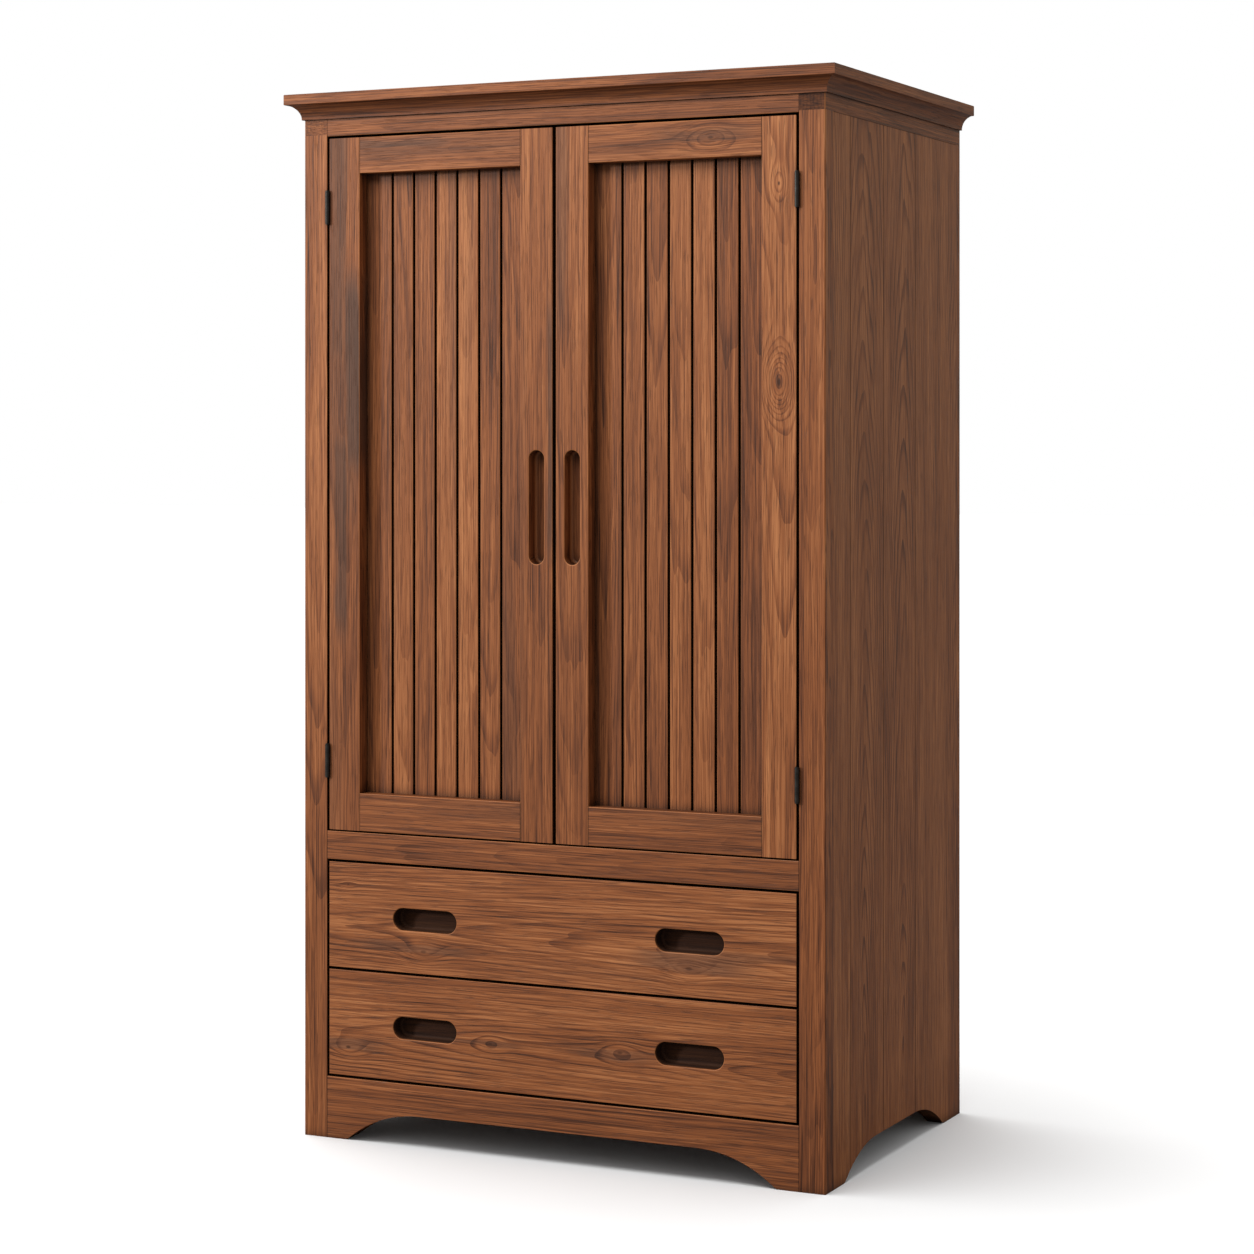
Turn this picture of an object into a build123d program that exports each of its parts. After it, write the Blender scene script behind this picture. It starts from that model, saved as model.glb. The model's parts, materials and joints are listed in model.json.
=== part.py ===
from build123d import *
from math import atan2, degrees
import os

# Shoe cabinet: a framed carcass on bracket feet, two inset slatted doors over
# shoe shelves, two inset drawers below, and a mitred cove cornice on top.
# Millimetres. +Z is up, the front faces -Y, and left and right are as seen
# from the front. The origin is on the floor, in the middle of the whole cabinet.

# --- Carcass -----------------------------------------------------------------
BODY_WIDTH = 662.0
BODY_DEPTH = 443.0
BODY_HEIGHT = 1200.0  # floor to the underside of the cornice
POST_WIDTH = 31.0
POST_THICKNESS = 24.0
REAR_POST_THICKNESS = 16.0
SIDE_THICKNESS = 20.0
BACK_THICKNESS = 8.0
FRIEZE_HEIGHT = 18.5
TOP_RAIL_HEIGHT = 20.3
MID_RAIL_HEIGHT = 33.0
BASE_RAIL_HEIGHT = 72.3
REAR_TOP_RAIL_HEIGHT = 60.0
CUPBOARD_FLOOR_THICKNESS = 18.0
BOTTOM_THICKNESS = 12.0
BOTTOM_RECESS = 10.0  # top of the bottom panel below the top of the base rail
DADO_DEPTH = 6.0  # housing of the two fixed floors in the side panels
EASE = 0.8  # small round on exposed edges
POST_CORNER_ROUND = 1.6

# --- Feet and arches ---------------------------------------------------------
FOOT_WIDTH = 58.0
REAR_SIDE_FOOT_WIDTH = 62.0  # as seen from the side
ARCH_RUN = 97.0  # length over which each end of an arch rises
FRONT_ARCH_RISE = 36.0
SIDE_ARCH_RISE = 33.0
FOOT_ROUND = 14.0

# --- Cornice -----------------------------------------------------------------
CORNICE_OVERHANG = 18.0
CORNICE_BEARING = 20.0  # width that rests on the carcass
CORNICE_HEIGHT = 29.3
FASCIA_HEIGHT = 12.3
CORNICE_LIP = 2.5
CORNICE_LIP_HEIGHT = 1.0
COVE_RADIUS = 17.0
COVE_STEP = 3.4  # flat under the fascia
TOP_THICKNESS = 16.0
TOP_LEDGE = 10.0  # rebate of the cornice that carries the top panel
TOP_RECESS = 0.3

# --- Doors -------------------------------------------------------------------
DOOR_THICKNESS = 28.0
DOOR_SIDE_REVEAL = 3.2
DOOR_TOP_REVEAL = 3.0
DOOR_BOTTOM_REVEAL = 2.0
DOOR_MEETING_GAP = 4.5
STILE_WIDTH = 41.0
DOOR_TOP_RAIL_HEIGHT = 42.0
DOOR_BOTTOM_RAIL_HEIGHT = 44.0
PANEL_RECESS = 18.0  # front of the slats behind the front of the door
SLAT_THICKNESS = 6.0
SLAT_WIDTH = 25.6
SLAT_GAP = 3.2
REBATE_WIDTH = 8.0
DOOR_PULL_LENGTH = 130.0
DOOR_PULL_WIDTH = 19.5
DOOR_PULL_DEPTH = 17.0
DOOR_PULL_HEIGHT = 381.5  # middle of the pull above the bottom of the door
PULL_RIM_ROUND = 1.2
PULL_FLOOR_ROUND = 4.0
STOP_CLEARANCE = 0.4
DOOR_STOP_DROP = 19.7
DOOR_STOP_THICKNESS = 14.0
MAGNET_RADIUS = 4.0
MAGNET_LENGTH = 8.0
STRIKE_RADIUS = 5.0
STRIKE_THICKNESS = 1.5
CATCH_DROP = 8.0  # middle of the catch below the top of the door
SEAT_CLEARANCE = 0.05  # around magnets, strikes, shelf pins and screws

# --- Hinges ------------------------------------------------------------------
HINGE_LENGTH = 38.0
HINGE_INSET = 81.0  # middle of each hinge from the end of the door
LEAF_THICKNESS = 1.3
LEAF_DEPTH = 20.0
KNUCKLE_RADIUS = 2.6
KNUCKLE_COUNT = 5
KNUCKLE_AIR = 0.2
KNUCKLE_PROUD = 2.2  # pin axis in front of the face of the cabinet
PIN_RADIUS = 1.3
PIN_CLEARANCE = 0.05
PIN_HEAD_RADIUS = 2.1
PIN_HEAD_HEIGHT = 1.2
SCREW_HEAD_RADIUS = 2.3
SCREW_SHANK_RADIUS = 1.2
SCREW_LENGTH = 10.0
SCREW_SPACING = 13.0
SCREW_STAGGER = 2.5

# --- Shelves -----------------------------------------------------------------
SHELF_COUNT = 4
SHELF_THICKNESS = 15.0
SHELF_SETBACK = 12.0  # front of a shelf behind the back of the doors
SHELF_CLEARANCE = 0.5
SHELF_PIN_RADIUS = 2.5
SHELF_PIN_REACH = 8.0
SHELF_PIN_INSET = 40.0

# --- Drawers -----------------------------------------------------------------
DRAWER_COUNT = 2
DRAWER_REVEAL = 3.0
DRAWER_FRONT_HEIGHT = 123.6
DRAWER_FRONT_THICKNESS = 24.0
DRAWER_BOX_INSET = 6.0  # side of the box inside the opening
DRAWER_BOX_HEIGHT = 100.0
DRAWER_BOX_LIFT = 10.0  # bottom of the box above the bottom of the front
DRAWER_SIDE_THICKNESS = 12.0
DRAWER_BOTTOM_THICKNESS = 6.0
DRAWER_BOTTOM_LIFT = 8.0
DRAWER_GROOVE_DEPTH = 5.0
DRAWER_GROOVE_CLEARANCE = 0.1
DRAWER_PULL_LENGTH = 84.0
DRAWER_PULL_WIDTH = 26.0
DRAWER_PULL_DEPTH = 18.0
DRAWER_PULL_SPACING = 337.0
RUNNER_HEIGHT = 14.0
RUNNER_LIFT = 55.0  # middle of the runner above the bottom of the box
RUNNER_GROOVE_DEPTH = 6.0
RUNNER_CLEARANCE = 0.3
STOP_BLOCK_LENGTH = 18.0
STOP_BLOCK_WIDTH = 12.0
STOP_BLOCK_HEIGHT = 20.0

# --- Positions that follow from the sizes ------------------------------------
LEFT = -1
RIGHT = 1
HALF_WIDTH = BODY_WIDTH / 2
HALF_OPENING = HALF_WIDTH - POST_WIDTH
SIDE_INNER = HALF_WIDTH - SIDE_THICKNESS
FRONT_Y = (CORNICE_OVERHANG - BODY_DEPTH) / 2
BACK_Y = FRONT_Y + BODY_DEPTH
POST_BACK_Y = FRONT_Y + POST_THICKNESS
DOOR_BACK_Y = FRONT_Y + DOOR_THICKNESS
RAIL_BACK_Y = DOOR_BACK_Y + STOP_CLEARANCE
REAR_POST_Y = BACK_Y - REAR_POST_THICKNESS
BACK_PANEL_Y = REAR_POST_Y - BACK_THICKNESS
FRIEZE_Z = BODY_HEIGHT - FRIEZE_HEIGHT
TOP_RAIL_Z = BODY_HEIGHT - TOP_RAIL_HEIGHT
TOTAL_HEIGHT = BODY_HEIGHT + CORNICE_HEIGHT
TOP_PANEL_Z = TOTAL_HEIGHT - TOP_RECESS - TOP_THICKNESS
BOTTOM_TOP_Z = BASE_RAIL_HEIGHT - BOTTOM_RECESS
BOTTOM_Z = BOTTOM_TOP_Z - BOTTOM_THICKNESS

DRAWER_PITCH = DRAWER_FRONT_HEIGHT + DRAWER_REVEAL
DRAWER_FRONT_Z = BASE_RAIL_HEIGHT + DRAWER_REVEAL
MID_RAIL_Z = DRAWER_FRONT_Z + DRAWER_COUNT * DRAWER_PITCH
MID_RAIL_TOP_Z = MID_RAIL_Z + MID_RAIL_HEIGHT
CUPBOARD_FLOOR_Z = MID_RAIL_TOP_Z - CUPBOARD_FLOOR_THICKNESS
DRAWER_HALF_WIDTH = HALF_OPENING - DRAWER_REVEAL
BOX_HALF_WIDTH = HALF_OPENING - DRAWER_BOX_INSET
BOX_INNER = BOX_HALF_WIDTH - DRAWER_SIDE_THICKNESS
DRAWER_FRONT_BACK_Y = FRONT_Y + DRAWER_FRONT_THICKNESS
STOP_BLOCK_Y = BACK_PANEL_Y - STOP_BLOCK_LENGTH
BOX_BACK_Y = STOP_BLOCK_Y - RUNNER_CLEARANCE

DOOR_Z = MID_RAIL_TOP_Z + DOOR_BOTTOM_REVEAL
DOOR_TOP_Z = TOP_RAIL_Z - DOOR_TOP_REVEAL
DOOR_OUTER = HALF_OPENING - DOOR_SIDE_REVEAL
DOOR_INNER = DOOR_MEETING_GAP / 2
PANEL_OUTER = DOOR_OUTER - STILE_WIDTH
PANEL_INNER = DOOR_INNER + STILE_WIDTH
PANEL_Z = DOOR_Z + DOOR_BOTTOM_RAIL_HEIGHT
PANEL_TOP_Z = DOOR_TOP_Z - DOOR_TOP_RAIL_HEIGHT
SLAT_FRONT_Y = FRONT_Y + PANEL_RECESS
BACKING_Y = SLAT_FRONT_Y + SLAT_THICKNESS
PULL_STILE_MIDDLE = DOOR_INNER + STILE_WIDTH / 2
CATCH_Z = DOOR_TOP_Z - CATCH_DROP
DOOR_STOP_Z = TOP_RAIL_Z - DOOR_STOP_DROP

HINGE_X = HALF_OPENING - DOOR_SIDE_REVEAL / 2
HINGE_Y = FRONT_Y - KNUCKLE_PROUD
HINGE_HEIGHTS = [DOOR_Z + HINGE_INSET, DOOR_TOP_Z - HINGE_INSET]
PLATE_Y = HINGE_Y + KNUCKLE_RADIUS + KNUCKLE_AIR
SCREW_Y = (PLATE_Y + FRONT_Y + LEAF_DEPTH) / 2
SCREW_OFFSETS = [
    (-SCREW_STAGGER, -SCREW_SPACING),
    (SCREW_STAGGER, 0),
    (-SCREW_STAGGER, SCREW_SPACING),
]

SHELF_FRONT_Y = DOOR_BACK_Y + SHELF_SETBACK
SHELF_BACK_Y = BACK_PANEL_Y - SHELF_CLEARANCE
SHELF_HALF_WIDTH = SIDE_INNER - SHELF_CLEARANCE
SHELF_PIN_YS = [SHELF_FRONT_Y + SHELF_PIN_INSET, SHELF_BACK_Y - SHELF_PIN_INSET]
SHELF_BAY = (
    FRIEZE_Z - MID_RAIL_TOP_Z - SHELF_COUNT * SHELF_THICKNESS
) / (SHELF_COUNT + 1)
SHELF_HEIGHTS = [
    MID_RAIL_TOP_Z + SHELF_BAY + number * (SHELF_BAY + SHELF_THICKNESS)
    for number in range(SHELF_COUNT)
]


# --- Helpers -----------------------------------------------------------------
def finish(builder, label):
    """Label a finished piece and write it to its own STEP file."""
    builder.part.label = label
    export_step(builder.part, f"parts/{label}.step")


def span(side, inner, outer):
    """Limits along X of something between two distances from the middle."""
    return sorted((side * inner, side * outer))


def board(x, y, z, mode=Mode.ADD):
    """Add or cut a rectangular board between (low, high) limits."""
    with Locations(((x[0] + x[1]) / 2, (y[0] + y[1]) / 2, (z[0] + z[1]) / 2)):
        Box(x[1] - x[0], y[1] - y[0], z[1] - z[0], mode=mode)


def facing_front(y):
    """Plane at depth y whose normal points out of the front of the cabinet."""
    return Plane(origin=(0, y, 0), x_dir=(1, 0, 0), z_dir=(0, -1, 0))


def ease_front_edges(builder, axis, radius=EASE):
    """Round the front edges of a piece that run along the given axis."""
    fillet(builder.edges().filter_by(axis).group_by(Axis.Y)[0], radius)


def arched_face(plane, start, end, top, rise, start_foot, end_foot):
    """Outline of a board that stands on two feet with an arch between them."""
    arch_start = start + start_foot
    arch_end = end - end_foot
    with BuildSketch(plane) as outline:
        with BuildLine():
            Polyline((arch_start, 0), (start, 0), (start, top), (end, top), (end, 0), (arch_end, 0))
            TangentArc((arch_start + ARCH_RUN, rise), (arch_start, 0), tangent=(-1, 0))
            TangentArc((arch_end - ARCH_RUN, rise), (arch_end, 0), tangent=(1, 0))
            Line((arch_start + ARCH_RUN, rise), (arch_end - ARCH_RUN, rise))
        make_face()
        toes = outline.vertices().group_by(Axis.Y)[0].sort_by(Axis.X)[1:3]
        fillet(toes, FOOT_ROUND)
    return outline.sketch


# --- Carcass -----------------------------------------------------------------
def make_side_panel(side, name):
    """Edge-glued side with an arch, housings for the floors and pin holes."""
    inner_face = Plane.YZ.offset(side * SIDE_INNER)
    with BuildPart() as side_panel:
        outline = arched_face(
            inner_face,
            POST_BACK_Y,
            REAR_POST_Y,
            FRIEZE_Z,
            SIDE_ARCH_RISE,
            FOOT_WIDTH - POST_THICKNESS,
            REAR_SIDE_FOOT_WIDTH - REAR_POST_THICKNESS,
        )
        extrude(outline, amount=side * SIDE_THICKNESS)
        housing = span(side, SIDE_INNER, SIDE_INNER + DADO_DEPTH)
        board(housing, (RAIL_BACK_Y, BACK_PANEL_Y), (CUPBOARD_FLOOR_Z, MID_RAIL_TOP_Z), Mode.SUBTRACT)
        board(housing, (POST_BACK_Y, BACK_PANEL_Y), (BOTTOM_Z, BOTTOM_TOP_Z), Mode.SUBTRACT)
        with BuildSketch(inner_face):
            with Locations(*[(y, z - SHELF_PIN_RADIUS) for y in SHELF_PIN_YS for z in SHELF_HEIGHTS]):
                Circle(SHELF_PIN_RADIUS + SEAT_CLEARANCE)
        extrude(amount=side * SHELF_PIN_REACH, mode=Mode.SUBTRACT)
    finish(side_panel, name)


def make_front_post(side, name):
    """Front corner post, drilled for the screws of its two hinges."""
    with BuildPart() as front_post:
        board(span(side, HALF_OPENING, HALF_WIDTH), (FRONT_Y, POST_BACK_Y), (0, FRIEZE_Z))
        corners = front_post.edges().filter_by(Axis.Z).group_by(Axis.Y)[0].sort_by(Axis.X)
        outer_corner = corners[-1] if side == RIGHT else corners[0]
        inner_corner = corners[0] if side == RIGHT else corners[-1]
        fillet(outer_corner, POST_CORNER_ROUND)
        fillet(inner_corner, EASE)
        drill_for_screws(HALF_OPENING, side, side)
    finish(front_post, name)


def make_rear_post(side, name):
    """Rear corner post."""
    with BuildPart() as rear_post:
        board(span(side, HALF_OPENING, HALF_WIDTH), (REAR_POST_Y, BACK_Y), (0, FRIEZE_Z))
        corners = rear_post.edges().filter_by(Axis.Z).group_by(Axis.Y)[-1].sort_by(Axis.X)
        fillet(corners[-1] if side == RIGHT else corners[0], POST_CORNER_ROUND)
    finish(rear_post, name)


def make_frieze_rail(side, name):
    """Rail that caps the posts and the side panel, front to back."""
    with BuildPart() as frieze_rail:
        board(span(side, HALF_OPENING, HALF_WIDTH), (FRONT_Y, BACK_Y), (FRIEZE_Z, BODY_HEIGHT))
        corners = frieze_rail.edges().filter_by(Axis.Z).group_by(Axis.X)[-1 if side == RIGHT else 0]
        fillet(corners, POST_CORNER_ROUND)
    finish(frieze_rail, name)


def make_front_rail(name, z, height):
    """Cross rail of the front frame, as deep as a closed door and its stop gap."""
    with BuildPart() as front_rail:
        board((-HALF_OPENING, HALF_OPENING), (FRONT_Y, RAIL_BACK_Y), (z, z + height))
        ease_front_edges(front_rail, Axis.X)
    finish(front_rail, name)


def make_base_rail():
    """Arched rail under the drawers, with the inner halves of the front feet."""
    with BuildPart() as base_rail:
        outline = arched_face(
            facing_front(FRONT_Y),
            -HALF_OPENING,
            HALF_OPENING,
            BASE_RAIL_HEIGHT,
            FRONT_ARCH_RISE,
            FOOT_WIDTH - POST_WIDTH,
            FOOT_WIDTH - POST_WIDTH,
        )
        extrude(outline, amount=-POST_THICKNESS)
        top_edges = base_rail.edges().filter_by(Axis.X).group_by(Axis.Z)[-1]
        fillet(top_edges.sort_by(Axis.Y)[0], EASE)
    finish(base_rail, "base_rail")


def make_rear_base_rail():
    """Arched rail between the rear posts."""
    with BuildPart() as rear_base_rail:
        outline = arched_face(
            facing_front(REAR_POST_Y),
            -HALF_OPENING,
            HALF_OPENING,
            BASE_RAIL_HEIGHT,
            FRONT_ARCH_RISE,
            FOOT_WIDTH - POST_WIDTH,
            FOOT_WIDTH - POST_WIDTH,
        )
        extrude(outline, amount=-REAR_POST_THICKNESS)
    finish(rear_base_rail, "rear_base_rail")


def make_rear_top_rail():
    """Rail between the rear posts, with shoulders on the frieze rails."""
    with BuildPart() as rear_top_rail:
        rail_x = (-HALF_OPENING, HALF_OPENING)
        shoulder_x = (-SIDE_INNER, SIDE_INNER)
        rail_y = (REAR_POST_Y, BACK_Y)
        board(rail_x, rail_y, (BODY_HEIGHT - REAR_TOP_RAIL_HEIGHT, BODY_HEIGHT))
        board(shoulder_x, rail_y, (BODY_HEIGHT, TOP_PANEL_Z))
    finish(rear_top_rail, "rear_top_rail")


def make_back_panel():
    """Thin panel against the inner faces of the rear posts and rails."""
    with BuildPart() as back_panel:
        board((-SIDE_INNER, SIDE_INNER), (BACK_PANEL_Y, REAR_POST_Y), (BOTTOM_Z, FRIEZE_Z))
    finish(back_panel, "back_panel")


def make_floor_panels():
    """Floor of the cupboard and dust panel under the drawers, both housed."""
    housed_x = (-SIDE_INNER - DADO_DEPTH, SIDE_INNER + DADO_DEPTH)
    with BuildPart() as cupboard_floor:
        board(housed_x, (RAIL_BACK_Y, BACK_PANEL_Y), (CUPBOARD_FLOOR_Z, MID_RAIL_TOP_Z))
    finish(cupboard_floor, "cupboard_floor")
    with BuildPart() as bottom_panel:
        board(housed_x, (POST_BACK_Y, BACK_PANEL_Y), (BOTTOM_Z, BOTTOM_TOP_Z))
    finish(bottom_panel, "bottom_panel")


def make_shelf(number, z):
    """Loose shoe shelf on four pins."""
    with BuildPart() as shelf:
        board(
            (-SHELF_HALF_WIDTH, SHELF_HALF_WIDTH),
            (SHELF_FRONT_Y, SHELF_BACK_Y),
            (z, z + SHELF_THICKNESS),
        )
        ease_front_edges(shelf, Axis.X)
    finish(shelf, f"shelf_{number}")


def make_shelf_pins():
    """Pins in both side panels, four under each shelf."""
    with BuildPart() as shelf_pins:
        for side in (LEFT, RIGHT):
            with BuildSketch(Plane.YZ.offset(side * (SIDE_INNER - SHELF_PIN_REACH))):
                with Locations(*[(y, z - SHELF_PIN_RADIUS) for y in SHELF_PIN_YS for z in SHELF_HEIGHTS]):
                    Circle(SHELF_PIN_RADIUS)
            extrude(amount=side * 2 * SHELF_PIN_REACH)
    finish(shelf_pins, "shelf_pins")


# --- Top and cornice ---------------------------------------------------------
def cornice_face(plane):
    """Section of the cornice: x is outwards from the carcass, y is height."""
    cove_top = CORNICE_HEIGHT - FASCIA_HEIGHT
    cove_out = CORNICE_OVERHANG - COVE_STEP
    ledge = TOP_PANEL_Z - BODY_HEIGHT
    with BuildSketch(plane) as section:
        with BuildLine():
            RadiusArc((CORNICE_LIP, CORNICE_LIP_HEIGHT), (cove_out, cove_top), COVE_RADIUS)
            Polyline(
                (cove_out, cove_top),
                (CORNICE_OVERHANG, cove_top),
                (CORNICE_OVERHANG, CORNICE_HEIGHT),
                (TOP_LEDGE - CORNICE_BEARING, CORNICE_HEIGHT),
                (TOP_LEDGE - CORNICE_BEARING, ledge),
                (-CORNICE_BEARING, ledge),
                (-CORNICE_BEARING, 0),
                (CORNICE_LIP, 0),
                (CORNICE_LIP, CORNICE_LIP_HEIGHT),
            )
        make_face()
        fillet(section.vertices().group_by(Axis.X)[-1], EASE)
    return section.sketch


def mitre_plane(side):
    """Upright 45 degree plane through a front corner, its normal towards the front."""
    return Plane(
        origin=(side * HALF_WIDTH, FRONT_Y, BODY_HEIGHT),
        x_dir=(0, 0, 1),
        z_dir=(-side, -1, 0),
    )


def make_cornice_front():
    """Front run of the cornice, mitred at both ends."""
    reach = HALF_WIDTH + CORNICE_OVERHANG
    section_plane = Plane(origin=(-reach, FRONT_Y, BODY_HEIGHT), x_dir=(0, -1, 0), z_dir=(-1, 0, 0))
    with BuildPart() as cornice_front:
        extrude(cornice_face(section_plane), amount=-2 * reach)
        for side in (LEFT, RIGHT):
            split(bisect_by=mitre_plane(side), keep=Keep.TOP)
    finish(cornice_front, "cornice_front")


def make_cornice_side(side, name):
    """Side run of the cornice, mitred at the front and square at the back."""
    front = FRONT_Y - CORNICE_OVERHANG
    section_plane = Plane(
        origin=(side * HALF_WIDTH, front, BODY_HEIGHT), x_dir=(side, 0, 0), z_dir=(0, -side, 0)
    )
    with BuildPart() as cornice_side:
        extrude(cornice_face(section_plane), amount=-side * (BACK_Y - front))
        split(bisect_by=mitre_plane(side), keep=Keep.BOTTOM)
    finish(cornice_side, name)


def make_top_panel():
    """Panel dropped into the rebate of the cornice."""
    edge = HALF_WIDTH - CORNICE_BEARING + TOP_LEDGE
    with BuildPart() as top_panel:
        board(
            (-edge, edge),
            (FRONT_Y + CORNICE_BEARING - TOP_LEDGE, BACK_Y),
            (TOP_PANEL_Z, TOP_PANEL_Z + TOP_THICKNESS),
        )
    finish(top_panel, "top_panel")


# --- Door stop and catches ---------------------------------------------------
def make_door_stop():
    """Strip behind the top rail that the doors close against, bored for magnets."""
    with BuildPart() as door_stop:
        board(
            (-HALF_OPENING, HALF_OPENING),
            (RAIL_BACK_Y, RAIL_BACK_Y + DOOR_STOP_THICKNESS),
            (DOOR_STOP_Z, BODY_HEIGHT),
        )
        with BuildSketch(facing_front(RAIL_BACK_Y)):
            with Locations((-PULL_STILE_MIDDLE, CATCH_Z), (PULL_STILE_MIDDLE, CATCH_Z)):
                Circle(MAGNET_RADIUS + SEAT_CLEARANCE)
        extrude(amount=-MAGNET_LENGTH, mode=Mode.SUBTRACT)
    finish(door_stop, "door_stop")
    with BuildPart() as catch_magnets:
        with BuildSketch(facing_front(RAIL_BACK_Y)):
            with Locations((-PULL_STILE_MIDDLE, CATCH_Z), (PULL_STILE_MIDDLE, CATCH_Z)):
                Circle(MAGNET_RADIUS)
        extrude(amount=-MAGNET_LENGTH)
    finish(catch_magnets, "catch_magnets")


def make_strike(side, name):
    """Steel disc let into the back of a pull stile, opposite its magnet."""
    with BuildPart() as strike:
        with BuildSketch(facing_front(DOOR_BACK_Y - STRIKE_THICKNESS)):
            with Locations((side * PULL_STILE_MIDDLE, CATCH_Z)):
                Circle(STRIKE_RADIUS)
        extrude(amount=-STRIKE_THICKNESS)
    finish(strike, name)


# --- Hinges ------------------------------------------------------------------
def screw_plane(distance, side, direction):
    """Plane across X at a distance from the middle, its normal into the wood."""
    return Plane(origin=(side * distance, 0, 0), x_dir=(0, 1, 0), z_dir=(direction, 0, 0))


def screw_places(direction):
    """Screw positions of both hinges of one door, in the plane of screw_plane."""
    return [
        (SCREW_Y + along, direction * (height + up))
        for height in HINGE_HEIGHTS
        for along, up in SCREW_OFFSETS
    ]


def drill_for_screws(distance, side, direction):
    """Cut the screw holes of two hinges into the wooden piece being built."""
    with BuildSketch(screw_plane(distance, side, direction)) as holes:
        with Locations(*screw_places(direction)):
            Circle(SCREW_SHANK_RADIUS + SEAT_CLEARANCE)
    extrude(holes.sketch, amount=SCREW_LENGTH, mode=Mode.SUBTRACT)


def screw_head_taper():
    """Slope of the countersunk head, which is as deep as the leaf."""
    return degrees(atan2(SCREW_HEAD_RADIUS - SCREW_SHANK_RADIUS, LEAF_THICKNESS))


def hinge_leaves(distance, side, direction, first_knuckle):
    """Two leaves against the wood at a distance from the middle of the cabinet.

    direction points from the leaf into its wood, and every second knuckle from
    first_knuckle on belongs to the leaf.
    """
    leaf_x = sorted((side * distance, side * distance - direction * LEAF_THICKNESS))
    pitch = HINGE_LENGTH / KNUCKLE_COUNT
    for height in HINGE_HEIGHTS:
        low = height - HINGE_LENGTH / 2
        board(leaf_x, (PLATE_Y, FRONT_Y + LEAF_DEPTH), (low, low + HINGE_LENGTH))
        for knuckle in range(first_knuckle, KNUCKLE_COUNT, 2):
            start = low + knuckle * pitch + KNUCKLE_AIR / 2
            end = start + pitch - KNUCKLE_AIR
            board(leaf_x, (HINGE_Y, PLATE_Y), (start, end))
            with Locations((side * HINGE_X, HINGE_Y, (start + end) / 2)):
                Cylinder(KNUCKLE_RADIUS, end - start)
        with Locations((side * HINGE_X, HINGE_Y, height)):
            Cylinder(PIN_RADIUS + PIN_CLEARANCE, HINGE_LENGTH, mode=Mode.SUBTRACT)
    surface = side * distance - direction * LEAF_THICKNESS
    with BuildSketch(screw_plane(side * surface, side, direction)) as sinks:
        with Locations(*screw_places(direction)):
            Circle(SCREW_HEAD_RADIUS + SEAT_CLEARANCE)
    extrude(sinks.sketch, amount=LEAF_THICKNESS, taper=screw_head_taper(), mode=Mode.SUBTRACT)


def hinge_screws(distance, side, direction):
    """Countersunk screws through the leaves into the wood."""
    surface = side * distance - direction * LEAF_THICKNESS
    with BuildSketch(screw_plane(side * surface, side, direction)) as heads:
        with Locations(*screw_places(direction)):
            Circle(SCREW_HEAD_RADIUS)
    extrude(heads.sketch, amount=LEAF_THICKNESS, taper=screw_head_taper())
    with BuildSketch(screw_plane(distance, side, direction)) as shanks:
        with Locations(*screw_places(direction)):
            Circle(SCREW_SHANK_RADIUS)
    extrude(shanks.sketch, amount=SCREW_LENGTH)


def make_frame_hinge_parts():
    """Fixed leaves on both front posts, with their screws and the hinge pins."""
    with BuildPart() as frame_hinge_leaves:
        for side in (LEFT, RIGHT):
            hinge_leaves(HALF_OPENING, side, side, 0)
    finish(frame_hinge_leaves, "frame_hinge_leaves")
    with BuildPart() as frame_hinge_screws:
        for side in (LEFT, RIGHT):
            hinge_screws(HALF_OPENING, side, side)
    finish(frame_hinge_screws, "frame_hinge_screws")
    with BuildPart() as hinge_pins:
        for side in (LEFT, RIGHT):
            for height in HINGE_HEIGHTS:
                with Locations((side * HINGE_X, HINGE_Y, height)):
                    Cylinder(PIN_RADIUS, HINGE_LENGTH)
                head_lift = (HINGE_LENGTH - KNUCKLE_AIR + PIN_HEAD_HEIGHT) / 2
                with Locations(
                    (side * HINGE_X, HINGE_Y, height - head_lift),
                    (side * HINGE_X, HINGE_Y, height + head_lift),
                ):
                    Cylinder(PIN_HEAD_RADIUS, PIN_HEAD_HEIGHT)
    finish(hinge_pins, "hinge_pins")


def make_door_hinge_parts(side, word):
    """Moving leaves on the hinge stile of one door, with their screws."""
    with BuildPart() as door_hinge_leaves:
        hinge_leaves(DOOR_OUTER, side, -side, 1)
    finish(door_hinge_leaves, f"{word}_door_hinge_leaves")
    with BuildPart() as door_hinge_screws:
        hinge_screws(DOOR_OUTER, side, -side)
    finish(door_hinge_screws, f"{word}_door_hinge_screws")


# --- Doors -------------------------------------------------------------------
def cut_panel_rebate(side):
    """Cut the rebate that holds the slats and the backing, open at the back."""
    board(
        span(side, PANEL_INNER - REBATE_WIDTH, PANEL_OUTER + REBATE_WIDTH),
        (SLAT_FRONT_Y, DOOR_BACK_Y),
        (PANEL_Z - REBATE_WIDTH, PANEL_TOP_Z + REBATE_WIDTH),
        Mode.SUBTRACT,
    )


def cut_pull_pocket(middles, length, width, depth, rotation):
    """Cut blind finger pulls with round ends into the front of a piece."""
    with BuildSketch(facing_front(FRONT_Y)) as mouth:
        with Locations(*middles):
            SlotOverall(length, width, rotation=rotation)
    extrude(mouth.sketch, amount=-depth, mode=Mode.SUBTRACT)


def make_hinge_stile(side, name):
    """Full-height outer stile, drilled for the screws of its hinges."""
    with BuildPart() as hinge_stile:
        board(span(side, PANEL_OUTER, DOOR_OUTER), (FRONT_Y, DOOR_BACK_Y), (DOOR_Z, DOOR_TOP_Z))
        ease_front_edges(hinge_stile, Axis.Z)
        cut_panel_rebate(side)
        drill_for_screws(DOOR_OUTER, side, -side)
    finish(hinge_stile, name)


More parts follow.
